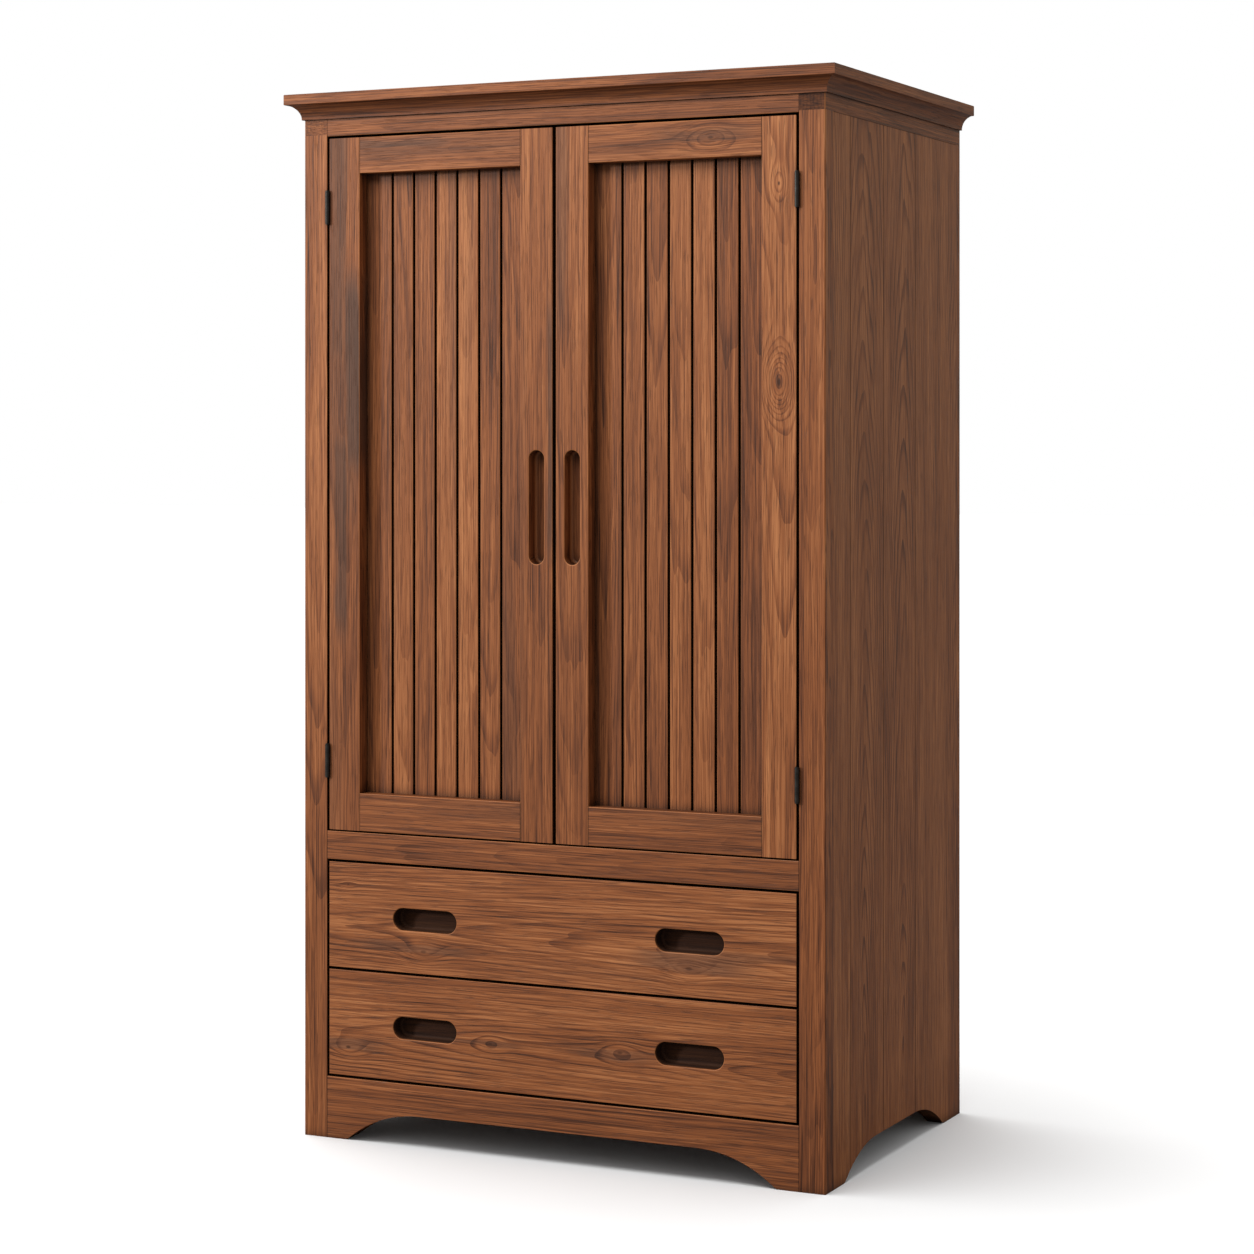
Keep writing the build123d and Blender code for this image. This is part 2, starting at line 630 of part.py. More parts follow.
def make_pull_stile(side, name):
    """Full-height inner stile with an upright finger pull and a strike seat."""
    with BuildPart() as pull_stile:
        board(span(side, DOOR_INNER, PANEL_INNER), (FRONT_Y, DOOR_BACK_Y), (DOOR_Z, DOOR_TOP_Z))
        ease_front_edges(pull_stile, Axis.Z)
        middle = (side * PULL_STILE_MIDDLE, DOOR_Z + DOOR_PULL_HEIGHT)
        cut_pull_pocket([middle], DOOR_PULL_LENGTH, DOOR_PULL_WIDTH, DOOR_PULL_DEPTH, 90)
        pocket_floor = pull_stile.faces().filter_by(Plane.XZ).group_by(Axis.Y)[1]
        fillet(pocket_floor.edges(), PULL_FLOOR_ROUND)
        mouth = pull_stile.faces().filter_by(Plane.XZ).sort_by(Axis.Y)[0].inner_wires()[0]
        fillet(mouth.edges(), PULL_RIM_ROUND)
        cut_panel_rebate(side)
        with BuildSketch(facing_front(DOOR_BACK_Y)):
            with Locations((side * PULL_STILE_MIDDLE, CATCH_Z)):
                Circle(STRIKE_RADIUS + SEAT_CLEARANCE)
        extrude(amount=STRIKE_THICKNESS, mode=Mode.SUBTRACT)
    finish(pull_stile, name)


def make_door_rail(side, name, low, high):
    """Door rail between the stiles, rebated for the slats."""
    with BuildPart() as door_rail:
        board(span(side, PANEL_INNER, PANEL_OUTER), (FRONT_Y, DOOR_BACK_Y), (low, high))
        ease_front_edges(door_rail, Axis.X)
        cut_panel_rebate(side)
    finish(door_rail, name)


def make_door_panel(side, word):
    """Row of slats with open gaps, and the thin backing that carries them."""
    opening = PANEL_OUTER - PANEL_INNER
    pitch = SLAT_WIDTH + SLAT_GAP
    inner_slats = int((opening - 2 * SLAT_WIDTH - SLAT_GAP) // pitch)
    edge_slat = (opening - inner_slats * pitch - SLAT_GAP) / 2
    gap_starts = [PANEL_INNER + edge_slat + number * pitch for number in range(inner_slats + 1)]
    slat_z = (PANEL_Z - REBATE_WIDTH, PANEL_TOP_Z + REBATE_WIDTH)
    slat_edges = [PANEL_INNER - REBATE_WIDTH]
    for start in gap_starts:
        slat_edges.extend((start, start + SLAT_GAP))
    slat_edges.append(PANEL_OUTER + REBATE_WIDTH)
    with BuildPart() as slats:
        for low, high in zip(slat_edges[::2], slat_edges[1::2]):
            board(span(side, low, high), (SLAT_FRONT_Y, BACKING_Y), slat_z)
        ease_front_edges(slats, Axis.Z)
    finish(slats, f"{word}_door_slats")
    with BuildPart() as backing:
        board(span(side, slat_edges[0], slat_edges[-1]), (BACKING_Y, DOOR_BACK_Y), slat_z)
    finish(backing, f"{word}_door_backing")


def make_door(side, word):
    """All the pieces of one door."""
    make_hinge_stile(side, f"{word}_door_hinge_stile")
    make_pull_stile(side, f"{word}_door_pull_stile")
    make_door_rail(side, f"{word}_door_top_rail", PANEL_TOP_Z, DOOR_TOP_Z)
    make_door_rail(side, f"{word}_door_bottom_rail", DOOR_Z, PANEL_Z)
    make_door_panel(side, word)
    make_door_hinge_parts(side, word)
    make_strike(side, f"{word}_door_strike")


# --- Drawers -----------------------------------------------------------------
def drawer_levels(number):
    """Bottom of the front, bottom of the box and middle of the runner."""
    front_z = DRAWER_FRONT_Z + number * DRAWER_PITCH
    box_z = front_z + DRAWER_BOX_LIFT
    return front_z, box_z, box_z + RUNNER_LIFT


def cut_bottom_groove(box_z):
    """Cut the groove that holds the drawer bottom into a front or a side."""
    low = box_z + DRAWER_BOTTOM_LIFT
    board(
        (-BOX_INNER - DRAWER_GROOVE_DEPTH, BOX_INNER + DRAWER_GROOVE_DEPTH),
        (DRAWER_FRONT_BACK_Y - DRAWER_GROOVE_DEPTH, BOX_BACK_Y),
        (low, low + DRAWER_BOTTOM_THICKNESS + DRAWER_GROOVE_CLEARANCE),
        Mode.SUBTRACT,
    )


def make_drawer_front(word, number):
    """Drawer front with two level finger pulls."""
    front_z, box_z, _ = drawer_levels(number)
    with BuildPart() as drawer_front:
        board(
            (-DRAWER_HALF_WIDTH, DRAWER_HALF_WIDTH),
            (FRONT_Y, DRAWER_FRONT_BACK_Y),
            (front_z, front_z + DRAWER_FRONT_HEIGHT),
        )
        fillet(drawer_front.faces().sort_by(Axis.Y)[0].edges(), EASE)
        pull_z = front_z + DRAWER_FRONT_HEIGHT / 2
        middles = [(-DRAWER_PULL_SPACING / 2, pull_z), (DRAWER_PULL_SPACING / 2, pull_z)]
        cut_pull_pocket(middles, DRAWER_PULL_LENGTH, DRAWER_PULL_WIDTH, DRAWER_PULL_DEPTH, 0)
        pocket_floors = drawer_front.faces().filter_by(Plane.XZ).group_by(Axis.Y)[1]
        fillet(pocket_floors.edges(), PULL_FLOOR_ROUND)
        mouths = drawer_front.faces().filter_by(Plane.XZ).sort_by(Axis.Y)[0].inner_wires()
        fillet(mouths.edges(), PULL_RIM_ROUND)
        cut_bottom_groove(box_z)
    finish(drawer_front, f"{word}_drawer_front")


def make_drawer_side(word, number, side, side_word):
    """Drawer side with an outer groove for the runner and one for the bottom."""
    _, box_z, runner_z = drawer_levels(number)
    groove = RUNNER_HEIGHT / 2 + RUNNER_CLEARANCE
    with BuildPart() as drawer_side:
        board(
            span(side, BOX_INNER, BOX_HALF_WIDTH),
            (DRAWER_FRONT_BACK_Y, BOX_BACK_Y),
            (box_z, box_z + DRAWER_BOX_HEIGHT),
        )
        board(
            span(side, BOX_HALF_WIDTH - RUNNER_GROOVE_DEPTH, BOX_HALF_WIDTH),
            (DRAWER_FRONT_BACK_Y, BOX_BACK_Y),
            (runner_z - groove, runner_z + groove),
            Mode.SUBTRACT,
        )
        cut_bottom_groove(box_z)
    finish(drawer_side, f"{word}_drawer_{side_word}_side")


def make_drawer_back_and_bottom(word, number):
    """Drawer back, standing on the drawer bottom, and the bottom in its grooves."""
    _, box_z, _ = drawer_levels(number)
    bottom_z = box_z + DRAWER_BOTTOM_LIFT
    bottom_top_z = bottom_z + DRAWER_BOTTOM_THICKNESS
    with BuildPart() as drawer_back:
        board(
            (-BOX_INNER, BOX_INNER),
            (BOX_BACK_Y - DRAWER_SIDE_THICKNESS, BOX_BACK_Y),
            (bottom_top_z, box_z + DRAWER_BOX_HEIGHT),
        )
    finish(drawer_back, f"{word}_drawer_back")
    edge = BOX_INNER + DRAWER_GROOVE_DEPTH - DRAWER_GROOVE_CLEARANCE
    with BuildPart() as drawer_bottom:
        board(
            (-edge, edge),
            (DRAWER_FRONT_BACK_Y - DRAWER_GROOVE_DEPTH + DRAWER_GROOVE_CLEARANCE, BOX_BACK_Y),
            (bottom_z, bottom_top_z),
        )
    finish(drawer_bottom, f"{word}_drawer_bottom")


def make_runners_and_stops():
    """Runner bars on the side panels, and the blocks that stop closed drawers."""
    runner_x = (BOX_HALF_WIDTH - RUNNER_GROOVE_DEPTH + RUNNER_CLEARANCE, SIDE_INNER)
    stop_x = (BOX_HALF_WIDTH - STOP_BLOCK_WIDTH, BOX_HALF_WIDTH)
    with BuildPart() as drawer_runners:
        for number in range(DRAWER_COUNT):
            runner_z = drawer_levels(number)[2]
            for side in (LEFT, RIGHT):
                board(
                    span(side, *runner_x),
                    (POST_BACK_Y, BACK_PANEL_Y - STOP_BLOCK_LENGTH),
                    (runner_z - RUNNER_HEIGHT / 2, runner_z + RUNNER_HEIGHT / 2),
                )
    finish(drawer_runners, "drawer_runners")
    with BuildPart() as drawer_stops:
        for number in range(DRAWER_COUNT):
            runner_z = drawer_levels(number)[2]
            for side in (LEFT, RIGHT):
                board(
                    span(side, *stop_x),
                    (STOP_BLOCK_Y, BACK_PANEL_Y),
                    (runner_z - STOP_BLOCK_HEIGHT / 2, runner_z + STOP_BLOCK_HEIGHT / 2),
                )
    finish(drawer_stops, "drawer_stops")


def make_drawer(word, number):
    """All the pieces of one drawer."""
    make_drawer_front(word, number)
    make_drawer_side(word, number, LEFT, "left")
    make_drawer_side(word, number, RIGHT, "right")
    make_drawer_back_and_bottom(word, number)


def main():
    os.makedirs("parts", exist_ok=True)
    for side, word in ((LEFT, "left"), (RIGHT, "right")):
        make_side_panel(side, f"{word}_side_panel")
        make_front_post(side, f"{word}_front_post")
        make_rear_post(side, f"{word}_rear_post")
        make_frieze_rail(side, f"{word}_frieze_rail")
        make_cornice_side(side, f"cornice_{word}")
        make_door(side, word)
    make_front_rail("top_rail", TOP_RAIL_Z, TOP_RAIL_HEIGHT)
    make_front_rail("mid_rail", MID_RAIL_Z, MID_RAIL_HEIGHT)
    make_base_rail()
    make_rear_base_rail()
    make_rear_top_rail()
    make_back_panel()
    make_floor_panels()
    for number, z in enumerate(SHELF_HEIGHTS, start=1):
        make_shelf(number, z)
    make_shelf_pins()
    make_cornice_front()
    make_top_panel()
    make_door_stop()
    make_frame_hinge_parts()
    for number, word in enumerate(("lower", "upper")):
        make_drawer(word, number)
    make_runners_and_stops()


main()
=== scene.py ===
"""Walnut shoe cabinet: finishes for every piece, and the studio it stands in."""

import json
import math
import random
from collections import namedtuple
from dataclasses import dataclass

import bpy
from bpy.props import FloatProperty, FloatVectorProperty, PointerProperty
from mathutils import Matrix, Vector


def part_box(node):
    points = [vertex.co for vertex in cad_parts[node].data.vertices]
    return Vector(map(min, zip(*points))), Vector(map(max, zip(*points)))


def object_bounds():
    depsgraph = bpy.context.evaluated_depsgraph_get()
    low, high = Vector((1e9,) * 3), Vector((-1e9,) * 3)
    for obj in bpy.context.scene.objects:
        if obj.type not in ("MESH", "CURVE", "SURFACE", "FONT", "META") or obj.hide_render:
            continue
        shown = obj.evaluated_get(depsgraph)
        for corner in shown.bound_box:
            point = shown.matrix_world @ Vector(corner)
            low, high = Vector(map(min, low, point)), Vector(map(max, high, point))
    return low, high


bl_info = {
    "name": "Walnut Shoe Cabinet",
    "version": (1, 0, 0),
    "blender": (4, 5, 0),
    "location": "3D View > Sidebar > Cabinet",
    "description": "Finishes the pieces of a slatted walnut shoe cabinet and sets up its studio",
    "category": "Object",
}

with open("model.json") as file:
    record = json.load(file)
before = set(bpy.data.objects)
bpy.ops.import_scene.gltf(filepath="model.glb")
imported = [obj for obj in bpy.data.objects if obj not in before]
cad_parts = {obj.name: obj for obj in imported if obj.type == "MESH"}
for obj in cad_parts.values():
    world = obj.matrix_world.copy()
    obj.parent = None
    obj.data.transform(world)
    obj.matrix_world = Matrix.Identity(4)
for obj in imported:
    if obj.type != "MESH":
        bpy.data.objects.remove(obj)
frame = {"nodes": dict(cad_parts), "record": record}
CAD_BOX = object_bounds()
NODES = frame["nodes"]

SIDES = ("left", "right")
DRAWERS = ("lower", "upper")
AXES = "XYZ"
WARM = (1.0, 0.92, 0.80)
WHITE = (1.0, 1.0, 1.0, 1.0)


# --- Settings ----------------------------------------------------------------
class CABINET_PG_walnut(bpy.types.PropertyGroup):
    """Colours and grain of the walnut."""

    pale: FloatVectorProperty(
        name="Pale streaks",
        description="Lightest colour of the grain",
        subtype="COLOR",
        default=(0.47, 0.190, 0.074),
    )
    body: FloatVectorProperty(
        name="Body",
        description="Main colour of the wood",
        subtype="COLOR",
        default=(0.258, 0.085, 0.028),
    )
    brown: FloatVectorProperty(
        name="Brown streaks",
        description="Colour between the body and the darkest streaks",
        subtype="COLOR",
        default=(0.150, 0.048, 0.018),
    )
    dark: FloatVectorProperty(
        name="Dark streaks",
        description="Darkest colour of the grain",
        subtype="COLOR",
        default=(0.055, 0.018, 0.008),
    )
    heart: FloatVectorProperty(
        name="Grey heartwood",
        description="Colour of the grey patches along the grain",
        subtype="COLOR",
        default=(0.100, 0.047, 0.030),
    )
    ring_spacing: FloatProperty(
        name="Ring spacing",
        description="Distance between growth rings",
        unit="LENGTH",
        default=0.0042,
    )
    roughness: FloatProperty(
        name="Roughness", description="Roughness of the oiled surface", default=0.5, min=0.0, max=1.0
    )
    gloss: FloatProperty(
        name="Gloss",
        description="Strength of the reflections of the oiled surface",
        default=0.22,
        min=0.0,
        max=1.0,
    )
    # Painted shade in gaps and corners reaches this far.
    crevice: FloatProperty(
        name="Crevice reach",
        description="How far the dark of gaps and corners reaches",
        unit="LENGTH",
        default=0.014,
    )
    relief: FloatProperty(
        name="Grain relief",
        description="Depth of the open grain",
        unit="LENGTH",
        default=0.00035,
    )


class CABINET_PG_metal(bpy.types.PropertyGroup):
    """Colours of the hinges and the small fittings."""

    black: FloatVectorProperty(
        name="Hinge black",
        description="Colour of the blackened hinges",
        subtype="COLOR",
        default=(0.019, 0.018, 0.017),
    )
    steel: FloatVectorProperty(
        name="Steel",
        description="Colour of the magnets, strikes and pins",
        subtype="COLOR",
        default=(0.42, 0.42, 0.43),
    )


class CABINET_PG_studio(bpy.types.PropertyGroup):
    """Camera and lights."""

    azimuth: FloatProperty(
        name="Camera azimuth",
        description="Angle from the front",
        subtype="ANGLE",
        default=math.radians(25.553),
    )
    distance: FloatProperty(
        name="Camera distance",
        description="Distance to the middle of the cabinet",
        unit="LENGTH",
        default=3.5755,
    )
    eye_height: FloatProperty(
        name="Eye height", description="Height of the camera above the floor", unit="LENGTH", default=0.8158
    )
    aim_offset: FloatProperty(
        name="Aim offset", description="Sideways offset of the aim", unit="LENGTH", default=-0.0088
    )
    lens: FloatProperty(name="Lens", description="Focal length in millimetres", default=85.55)
    shift: FloatProperty(name="Lens shift", description="Vertical shift of the lens", default=-0.145)
    key_power: FloatProperty(
        name="Key light", description="Power of the key light", unit="POWER", default=175.0
    )
    key_angle: FloatProperty(
        name="Key angle",
        description="Angle of the key light left of the front",
        subtype="ANGLE",
        default=math.radians(47.0),
    )
    key_height: FloatProperty(
        name="Key height", description="Height of the key light", unit="LENGTH", default=1.95
    )
    fill_power: FloatProperty(
        name="Fill light", description="Power of the large soft light", unit="POWER", default=56.0
    )
    floor_light: FloatProperty(
        name="Floor light", description="Strength of the light on the floor alone", default=3.5
    )
    sky: FloatProperty(name="Sky", description="Strength of the soft light all round", default=0.58)


# --- Node helpers ------------------------------------------------------------
class Tree:
    """Short calls that add and link nodes of one shader tree."""

    def __init__(self, tree):
        self.tree = tree

    def node(self, kind, **settings):
        made = self.tree.nodes.new("ShaderNode" + kind)
        for name, value in settings.items():
            setattr(made, name, value)
        return made

    def feed(self, socket, value):
        """Link an output to a socket, or set the socket to a number or vector."""
        if isinstance(value, bpy.types.NodeSocket):
            self.tree.links.new(value, socket)
        else:
            socket.default_value = value

    def math(self, operation, first, second=0.0, third=0.0, clamp=False):
        made = self.node("Math", operation=operation, use_clamp=clamp)
        for socket, value in zip(made.inputs, (first, second, third)):
            self.feed(socket, value)
        return made.outputs[0]

    def vector(self, operation, first, second=(0.0, 0.0, 0.0), third=None):
        made = self.node("VectorMath", operation=operation)
        self.feed(made.inputs[0], first)
        if operation == "SCALE":
            self.feed(made.inputs["Scale"], second)
            return made.outputs[0]
        self.feed(made.inputs[1], second)
        if third is not None:
            self.feed(made.inputs[2], third)
        return made.outputs[1] if operation in ("LENGTH", "DOT_PRODUCT") else made.outputs[0]

    def split(self, vector):
        made = self.node("SeparateXYZ")
        self.feed(made.inputs[0], vector)
        return made.outputs[0], made.outputs[1], made.outputs[2]

    def combine(self, x=0.0, y=0.0, z=0.0):
        made = self.node("CombineXYZ")
        for socket, value in zip(made.inputs, (x, y, z)):
            self.feed(socket, value)
        return made.outputs[0]

    def noise(self, vector, scale, detail, roughness=0.5, color=False):
        """Noise with its own scale along each axis."""
        stretched = self.vector("MULTIPLY", vector, scale)
        made = self.node("TexNoise")
        self.feed(made.inputs["Vector"], stretched)
        made.inputs["Scale"].default_value = 1.0
        made.inputs["Detail"].default_value = detail
        made.inputs["Roughness"].default_value = roughness
        return made.outputs["Color" if color else "Fac"]

    def vary(self, value, noise, strength):
        """Value that a noise moves up and down around itself."""
        return self.math("MULTIPLY_ADD", self.math("SUBTRACT", noise, 0.5), strength, value)

    def remap(self, value, low, high, to_low=0.0, to_high=1.0, smooth=False):
        made = self.node("MapRange", interpolation_type="SMOOTHSTEP" if smooth else "LINEAR")
        for socket, item in zip(made.inputs, (value, low, high, to_low, to_high)):
            self.feed(socket, item)
        return made.outputs[0]

    def blend(self, factor, first, second, mode="MIX"):
        made = self.node("Mix", data_type="RGBA", blend_type=mode)
        self.feed(made.inputs["Factor"], factor)
        for name, value in (("A", first), ("B", second)):
            socket = [s for s in made.inputs if s.name == name and s.type == "RGBA"][0]
            self.feed(socket, value)
        return [s for s in made.outputs if s.type == "RGBA"][0]

    def ramp(self, value, stops):
        made = self.node("ValToRGB")
        self.feed(made.inputs[0], value)
        elements = made.color_ramp.elements
        while len(elements) < len(stops):
            elements.new(0.5)
        for element, (place, color) in zip(elements, stops):
            element.position = place
            element.color = color
        return made.outputs[0]

    def group(self, group):
        made = self.node("Group")
        made.node_tree = group
        return made

    def bump(self, shader, height, strength, distance):
        """Let a height raise the surface of a shader."""
        made = self.node("Bump")
        made.inputs["Strength"].default_value = strength
        made.inputs["Distance"].default_value = distance
        self.feed(made.inputs["Height"], height)
        self.feed(shader.inputs["Normal"], made.outputs[0])


def rgba(color, strength=1.0):
    """Opaque colour, made brighter or darker by its strength."""
    return (*(part * strength for part in color), 1.0)


def new_material(name):
    """Empty node material with its shader and output linked."""
    material = bpy.data.materials.new(name)
    material.use_nodes = True
    tree = Tree(material.node_tree)
    shader = material.node_tree.nodes["Principled BSDF"]
    return material, tree, shader


def new_group(name, inputs, outputs):
    """Empty shader group; inputs and outputs are (name, kind) pairs."""
    group = bpy.data.node_groups.new(name, "ShaderNodeTree")
    for label, kind in inputs:
        group.interface.new_socket(label, in_out="INPUT", socket_type="NodeSocket" + kind)
    for label, kind in outputs:
        group.interface.new_socket(label, in_out="OUTPUT", socket_type="NodeSocket" + kind)
    source = group.nodes.new("NodeGroupInput")
    sink = group.nodes.new("NodeGroupOutput")
    return group, Tree(group), source.outputs, sink.inputs


# --- Walnut ------------------------------------------------------------------
# Boards are described in board space: along the grain, across the face, and depth.
# A layer of noise has its cycles per metre in board space, its detail and its roughness.
Layer = namedtuple("Layer", "scale detail roughness", defaults=(0.5,))
WANDER = Layer((1.3, 8.0, 8.0), 1.5)
RIPPLE = Layer((9.0, 45.0, 45.0), 1.0)
RING_DRIFT = Layer((2.0, 30.0, 30.0), 2.0)
RING_SHOW = Layer((2.4, 18.0, 18.0), 1.0)
BROAD = Layer((1.2, 34.0, 34.0), 2.0)
MIDDLE = Layer((2.2, 250.0, 250.0), 2.0, 0.6)
FINE = Layer((7.0, 700.0, 700.0), 2.0, 0.75)
LINES = Layer((5.0, 420.0, 420.0), 1.0)
HAIRS = Layer((9.0, 760.0, 760.0), 0.0)
PORES = Layer((34.0, 1100.0, 1100.0), 1.0)
HEARTWOOD = Layer((0.9, 20.0, 20.0), 2.0, 0.55)
BAND_EDGE = Layer((5.0, 60.0, 60.0), 3.0, 0.6)

# Metres that the wander and the ripple move the grain across and into the board.
RING_WANDER = (0.0, 0.013, 0.030)
RING_RIPPLE = (0.0, 0.0024, 0.0024)
FIBRE_WANDER = (0.0, 0.013, 0.0)
FIBRE_RIPPLE = (0.0, 0.0024, 0.0)
FIBRE_STRETCH = (1.0, 1.0, 0.2)  # fibres reach five times as far into the board as across it

# Shade runs from 0, the darkest grain, to 1, the palest. Each layer adds its share.
MEAN_SHADE = 0.585
BROAD_SHADE = 0.56
MIDDLE_SHADE = 0.48
FINE_SHADE = 0.95
LINE_SHADE = -0.13
HAIR_SHADE = -0.15
RING_SHADE = -0.42
RING_WAVINESS = 1.9  # ring spacings that the drift moves a ring
LATE_WOOD = (0.55, 0.97)  # share of a ring where it darkens

# How strongly the finishing touches show over the grain: pores, a painted highlight on the eased edges,
# painted shade in crevices, end grain and relief.
PORE_SHOW = 0.5
EDGE_HIGHLIGHT_SHOW = 0.6
CREVICE_SHADE_SHOW = 0.97
END_GRAIN = (0.42, 0.42, 0.46, 1.0)
BUMP_STRENGTH = 0.6

SEED_SPREAD = 7.0  # metres of noise that the parts are drawn from
DICE_SPREAD = 50.0  # range of the number that each piece's dice start from

# A band is dark over this share of its width on each side, and fades over the next.
BAND_DARK = 0.3
BAND_FADE = 0.35
BAND_END_FADE = 0.06
BAND_WOBBLE = 0.022

# A knot is this many times as long as it is wide, and draws the grain in by this share.
KNOT_LENGTH = 2.0
KNOT_PULL = 0.7

# Metres in from the rim of a finger pull over which it darkens with painted shade, and beyond its box.
PULL_RIM = 0.0012
PULL_DARK = 0.006
PULL_MARGIN = 0.003

# An empty stretch wider than this parts two slats.
SMALLEST_GAP = 0.0005

# Half widths of the fine dark lines where pieces and boards meet.
SEAM_CORE = 0.0004
SEAM_AT_END = 0.0011
SEAM_AT_JOINT = 0.0012

# Marks are measured from the low corner of their piece. A knot's core is how dark
# its middle is, and its rise how far it lifts the rings.
Knot = namedtuple("Knot", "along across size core rise")
Band = namedtuple("Band", "across width strength start end")


@dataclass
class Board:
    """How one piece was cut and finished.

    Parts are the separate boards or slats of one piece. A part whose pith lies far
    off to its side shows straight grain.
    """

    grain: str  # axis that the grain runs along
    face: str  # axis that the face looks along
    joints: tuple = ()  # places across the face where parts meet
    tone: float = 0.0  # shade added
    tones: tuple = ()  # shade added to each part, in place of tone
    spread: float = 0.05  # random shade added to each part
    fade: float = 0.0  # painted light: shade gained per metre along the grain, paler towards the top of an upright piece
    rings: float = 0.35  # strength of the growth rings
    lean: float = 0.02  # tilt of the rings along the grain
    pith: tuple = (0.0, 0.04)  # middle of the rings, across and behind the middle of a part
    shifts: tuple = ()  # metres that the pith of each part moves across
    grey: float = 0.3  # strength of the grey heartwood
    knots: tuple = ()  # knots on its face
    bands: tuple = ()  # dark bands along the grain
    recesses: tuple = ()  # painted shade in the finger pulls
    pull_shade: float = 0.5  # darkness of the finger pulls
    end: float = 1.0  # darkness of the end grain
    edge_highlight_strength: float = 1.0  # painted highlight on the eased edges
    seam: float = 0.0  # darkness of the fine lines at the ends and the joints


def knot_group():
    """Bends the grain round a knot and marks its core."""
    group, tree, given, result = new_group(
        "grain_round_knot",
        [
            ("Vector", "Vector"),
            ("Middle", "Vector"),
            ("Size", "Float"),
            ("Core", "Float"),
            ("Rise", "Float"),
        ],
        [("Vector", "Vector"), ("Core", "Float")],
    )
    offset = tree.vector("SUBTRACT", given["Vector"], given["Middle"])
    along, across, _ = tree.split(offset)
    across_share = tree.math("DIVIDE", across, given["Size"])
    along_share = tree.math("DIVIDE", along, tree.math("MULTIPLY", given["Size"], KNOT_LENGTH))
    distance = tree.math(
        "ADD",
        tree.math("MULTIPLY", across_share, across_share),
        tree.math("MULTIPLY", along_share, along_share),
    )
    pull = tree.math("EXPONENT", tree.math("MULTIPLY", distance, -1.0))
    shift = tree.math("MULTIPLY", tree.math("MULTIPLY", across, pull), -KNOT_PULL)
    lift = tree.math("MULTIPLY", pull, given["Rise"])
    moved = tree.vector("ADD", given["Vector"], tree.combine(0.0, shift, lift))
    tree.feed(result["Vector"], moved)
    core_mask = tree.remap(distance, 0.002, 0.03, 1.0, 0.0, smooth=True)
    tree.feed(result["Core"], tree.math("MULTIPLY", core_mask, given["Core"]))
    return group


def grain_places(tree, place, seed):
    """Places that the rings and the fibres are drawn at, and the distance from the pith.

    The fibres wander only across the board, so that their lines stay long and fine.
    """
    centre = (0.5, 0.5, 0.5)
    seeded = tree.vector("ADD", place, seed)
    wander = tree.vector("SUBTRACT", tree.noise(seeded, *WANDER, color=True), centre)
    ripple = tree.vector("SUBTRACT", tree.noise(seeded, *RIPPLE, color=True), centre)
    rings = tree.vector("ADD", place, tree.vector("MULTIPLY", wander, RING_WANDER))
    rings = tree.vector("ADD", rings, tree.vector("MULTIPLY", ripple, RING_RIPPLE))
    radius = tree.vector("LENGTH", tree.vector("MULTIPLY", rings, (0.0, 1.0, 1.0)))
    rings = tree.vector("ADD", rings, seed)
    fibres = tree.vector("ADD", place, tree.vector("MULTIPLY", wander, FIBRE_WANDER))
    fibres = tree.vector("ADD", fibres, tree.vector("MULTIPLY", ripple, FIBRE_RIPPLE))
    fibres = tree.vector("MULTIPLY_ADD", fibres, FIBRE_STRETCH, seed)
    return seeded, rings, fibres, radius


def ring_lines(tree, seeded, place, radius, spacing):
    """Dark late wood of the growth rings, which comes and goes along the board."""
    rings = tree.math("DIVIDE", radius, spacing)
    phase = tree.math("MULTIPLY_ADD", tree.noise(place, *RING_DRIFT), RING_WAVINESS, rings)
    late_wood = tree.remap(tree.math("FRACT", phase), *LATE_WOOD, smooth=True)
    show = tree.remap(tree.noise(seeded, *RING_SHOW), 0.28, 0.60)
    return tree.math("MULTIPLY", late_wood, show)


def walnut_color(tree, given, settings, shade, pores, place):
    """Colour of a shade, with heartwood, pores, end grain, a painted edge highlight, painted shade in pulls
    and crevices, and dark seams.
    """
    color = tree.ramp(
        shade,
        [
            (0.06, rgba(settings.dark)),
            (0.30, rgba(settings.brown)),
            (0.54, rgba(settings.body)),
            (0.92, rgba(settings.pale)),
        ],
    )
    heart = tree.remap(tree.noise(place, *HEARTWOOD), 0.57, 0.72, smooth=True)
    heart = tree.math("MAXIMUM", tree.math("MULTIPLY", heart, given["Grey"]), given["Patch"])
    heart_shade = tree.remap(shade, 0.1, 0.9)
    grey = tree.blend(heart_shade, rgba(settings.heart, 0.45), rgba(settings.heart, 1.35))
    color = tree.blend(heart, color, grey)
    color = tree.blend(tree.math("MULTIPLY", pores, PORE_SHOW), color, rgba(settings.dark))
    color = tree.blend(given["Core"], color, rgba(settings.dark, 0.8))
    color = tree.blend(given["End"], color, tree.blend(1.0, color, END_GRAIN, "MULTIPLY"))
    # Painted highlight along the eased edges.
    painted_edge_highlight = tree.math("MULTIPLY", given["Edge"], EDGE_HIGHLIGHT_SHOW)
    color = tree.blend(painted_edge_highlight, color, rgba(settings.pale, 1.15))
    # Painted shade in the finger pulls, and the dark seam lines.
    color = tree.blend(given["Shade"], color, rgba(settings.dark, 0.35))
    # Painted shade in gaps and corners, from ambient occlusion.
    crevice = tree.node("AmbientOcclusion", samples=4)
    crevice.inputs["Distance"].default_value = settings.crevice
    painted_crevice_shade = tree.remap(crevice.outputs["AO"], 0.22, 0.88, CREVICE_SHADE_SHOW, 0.0)
    return tree.blend(painted_crevice_shade, color, rgba(settings.dark, 0.12))


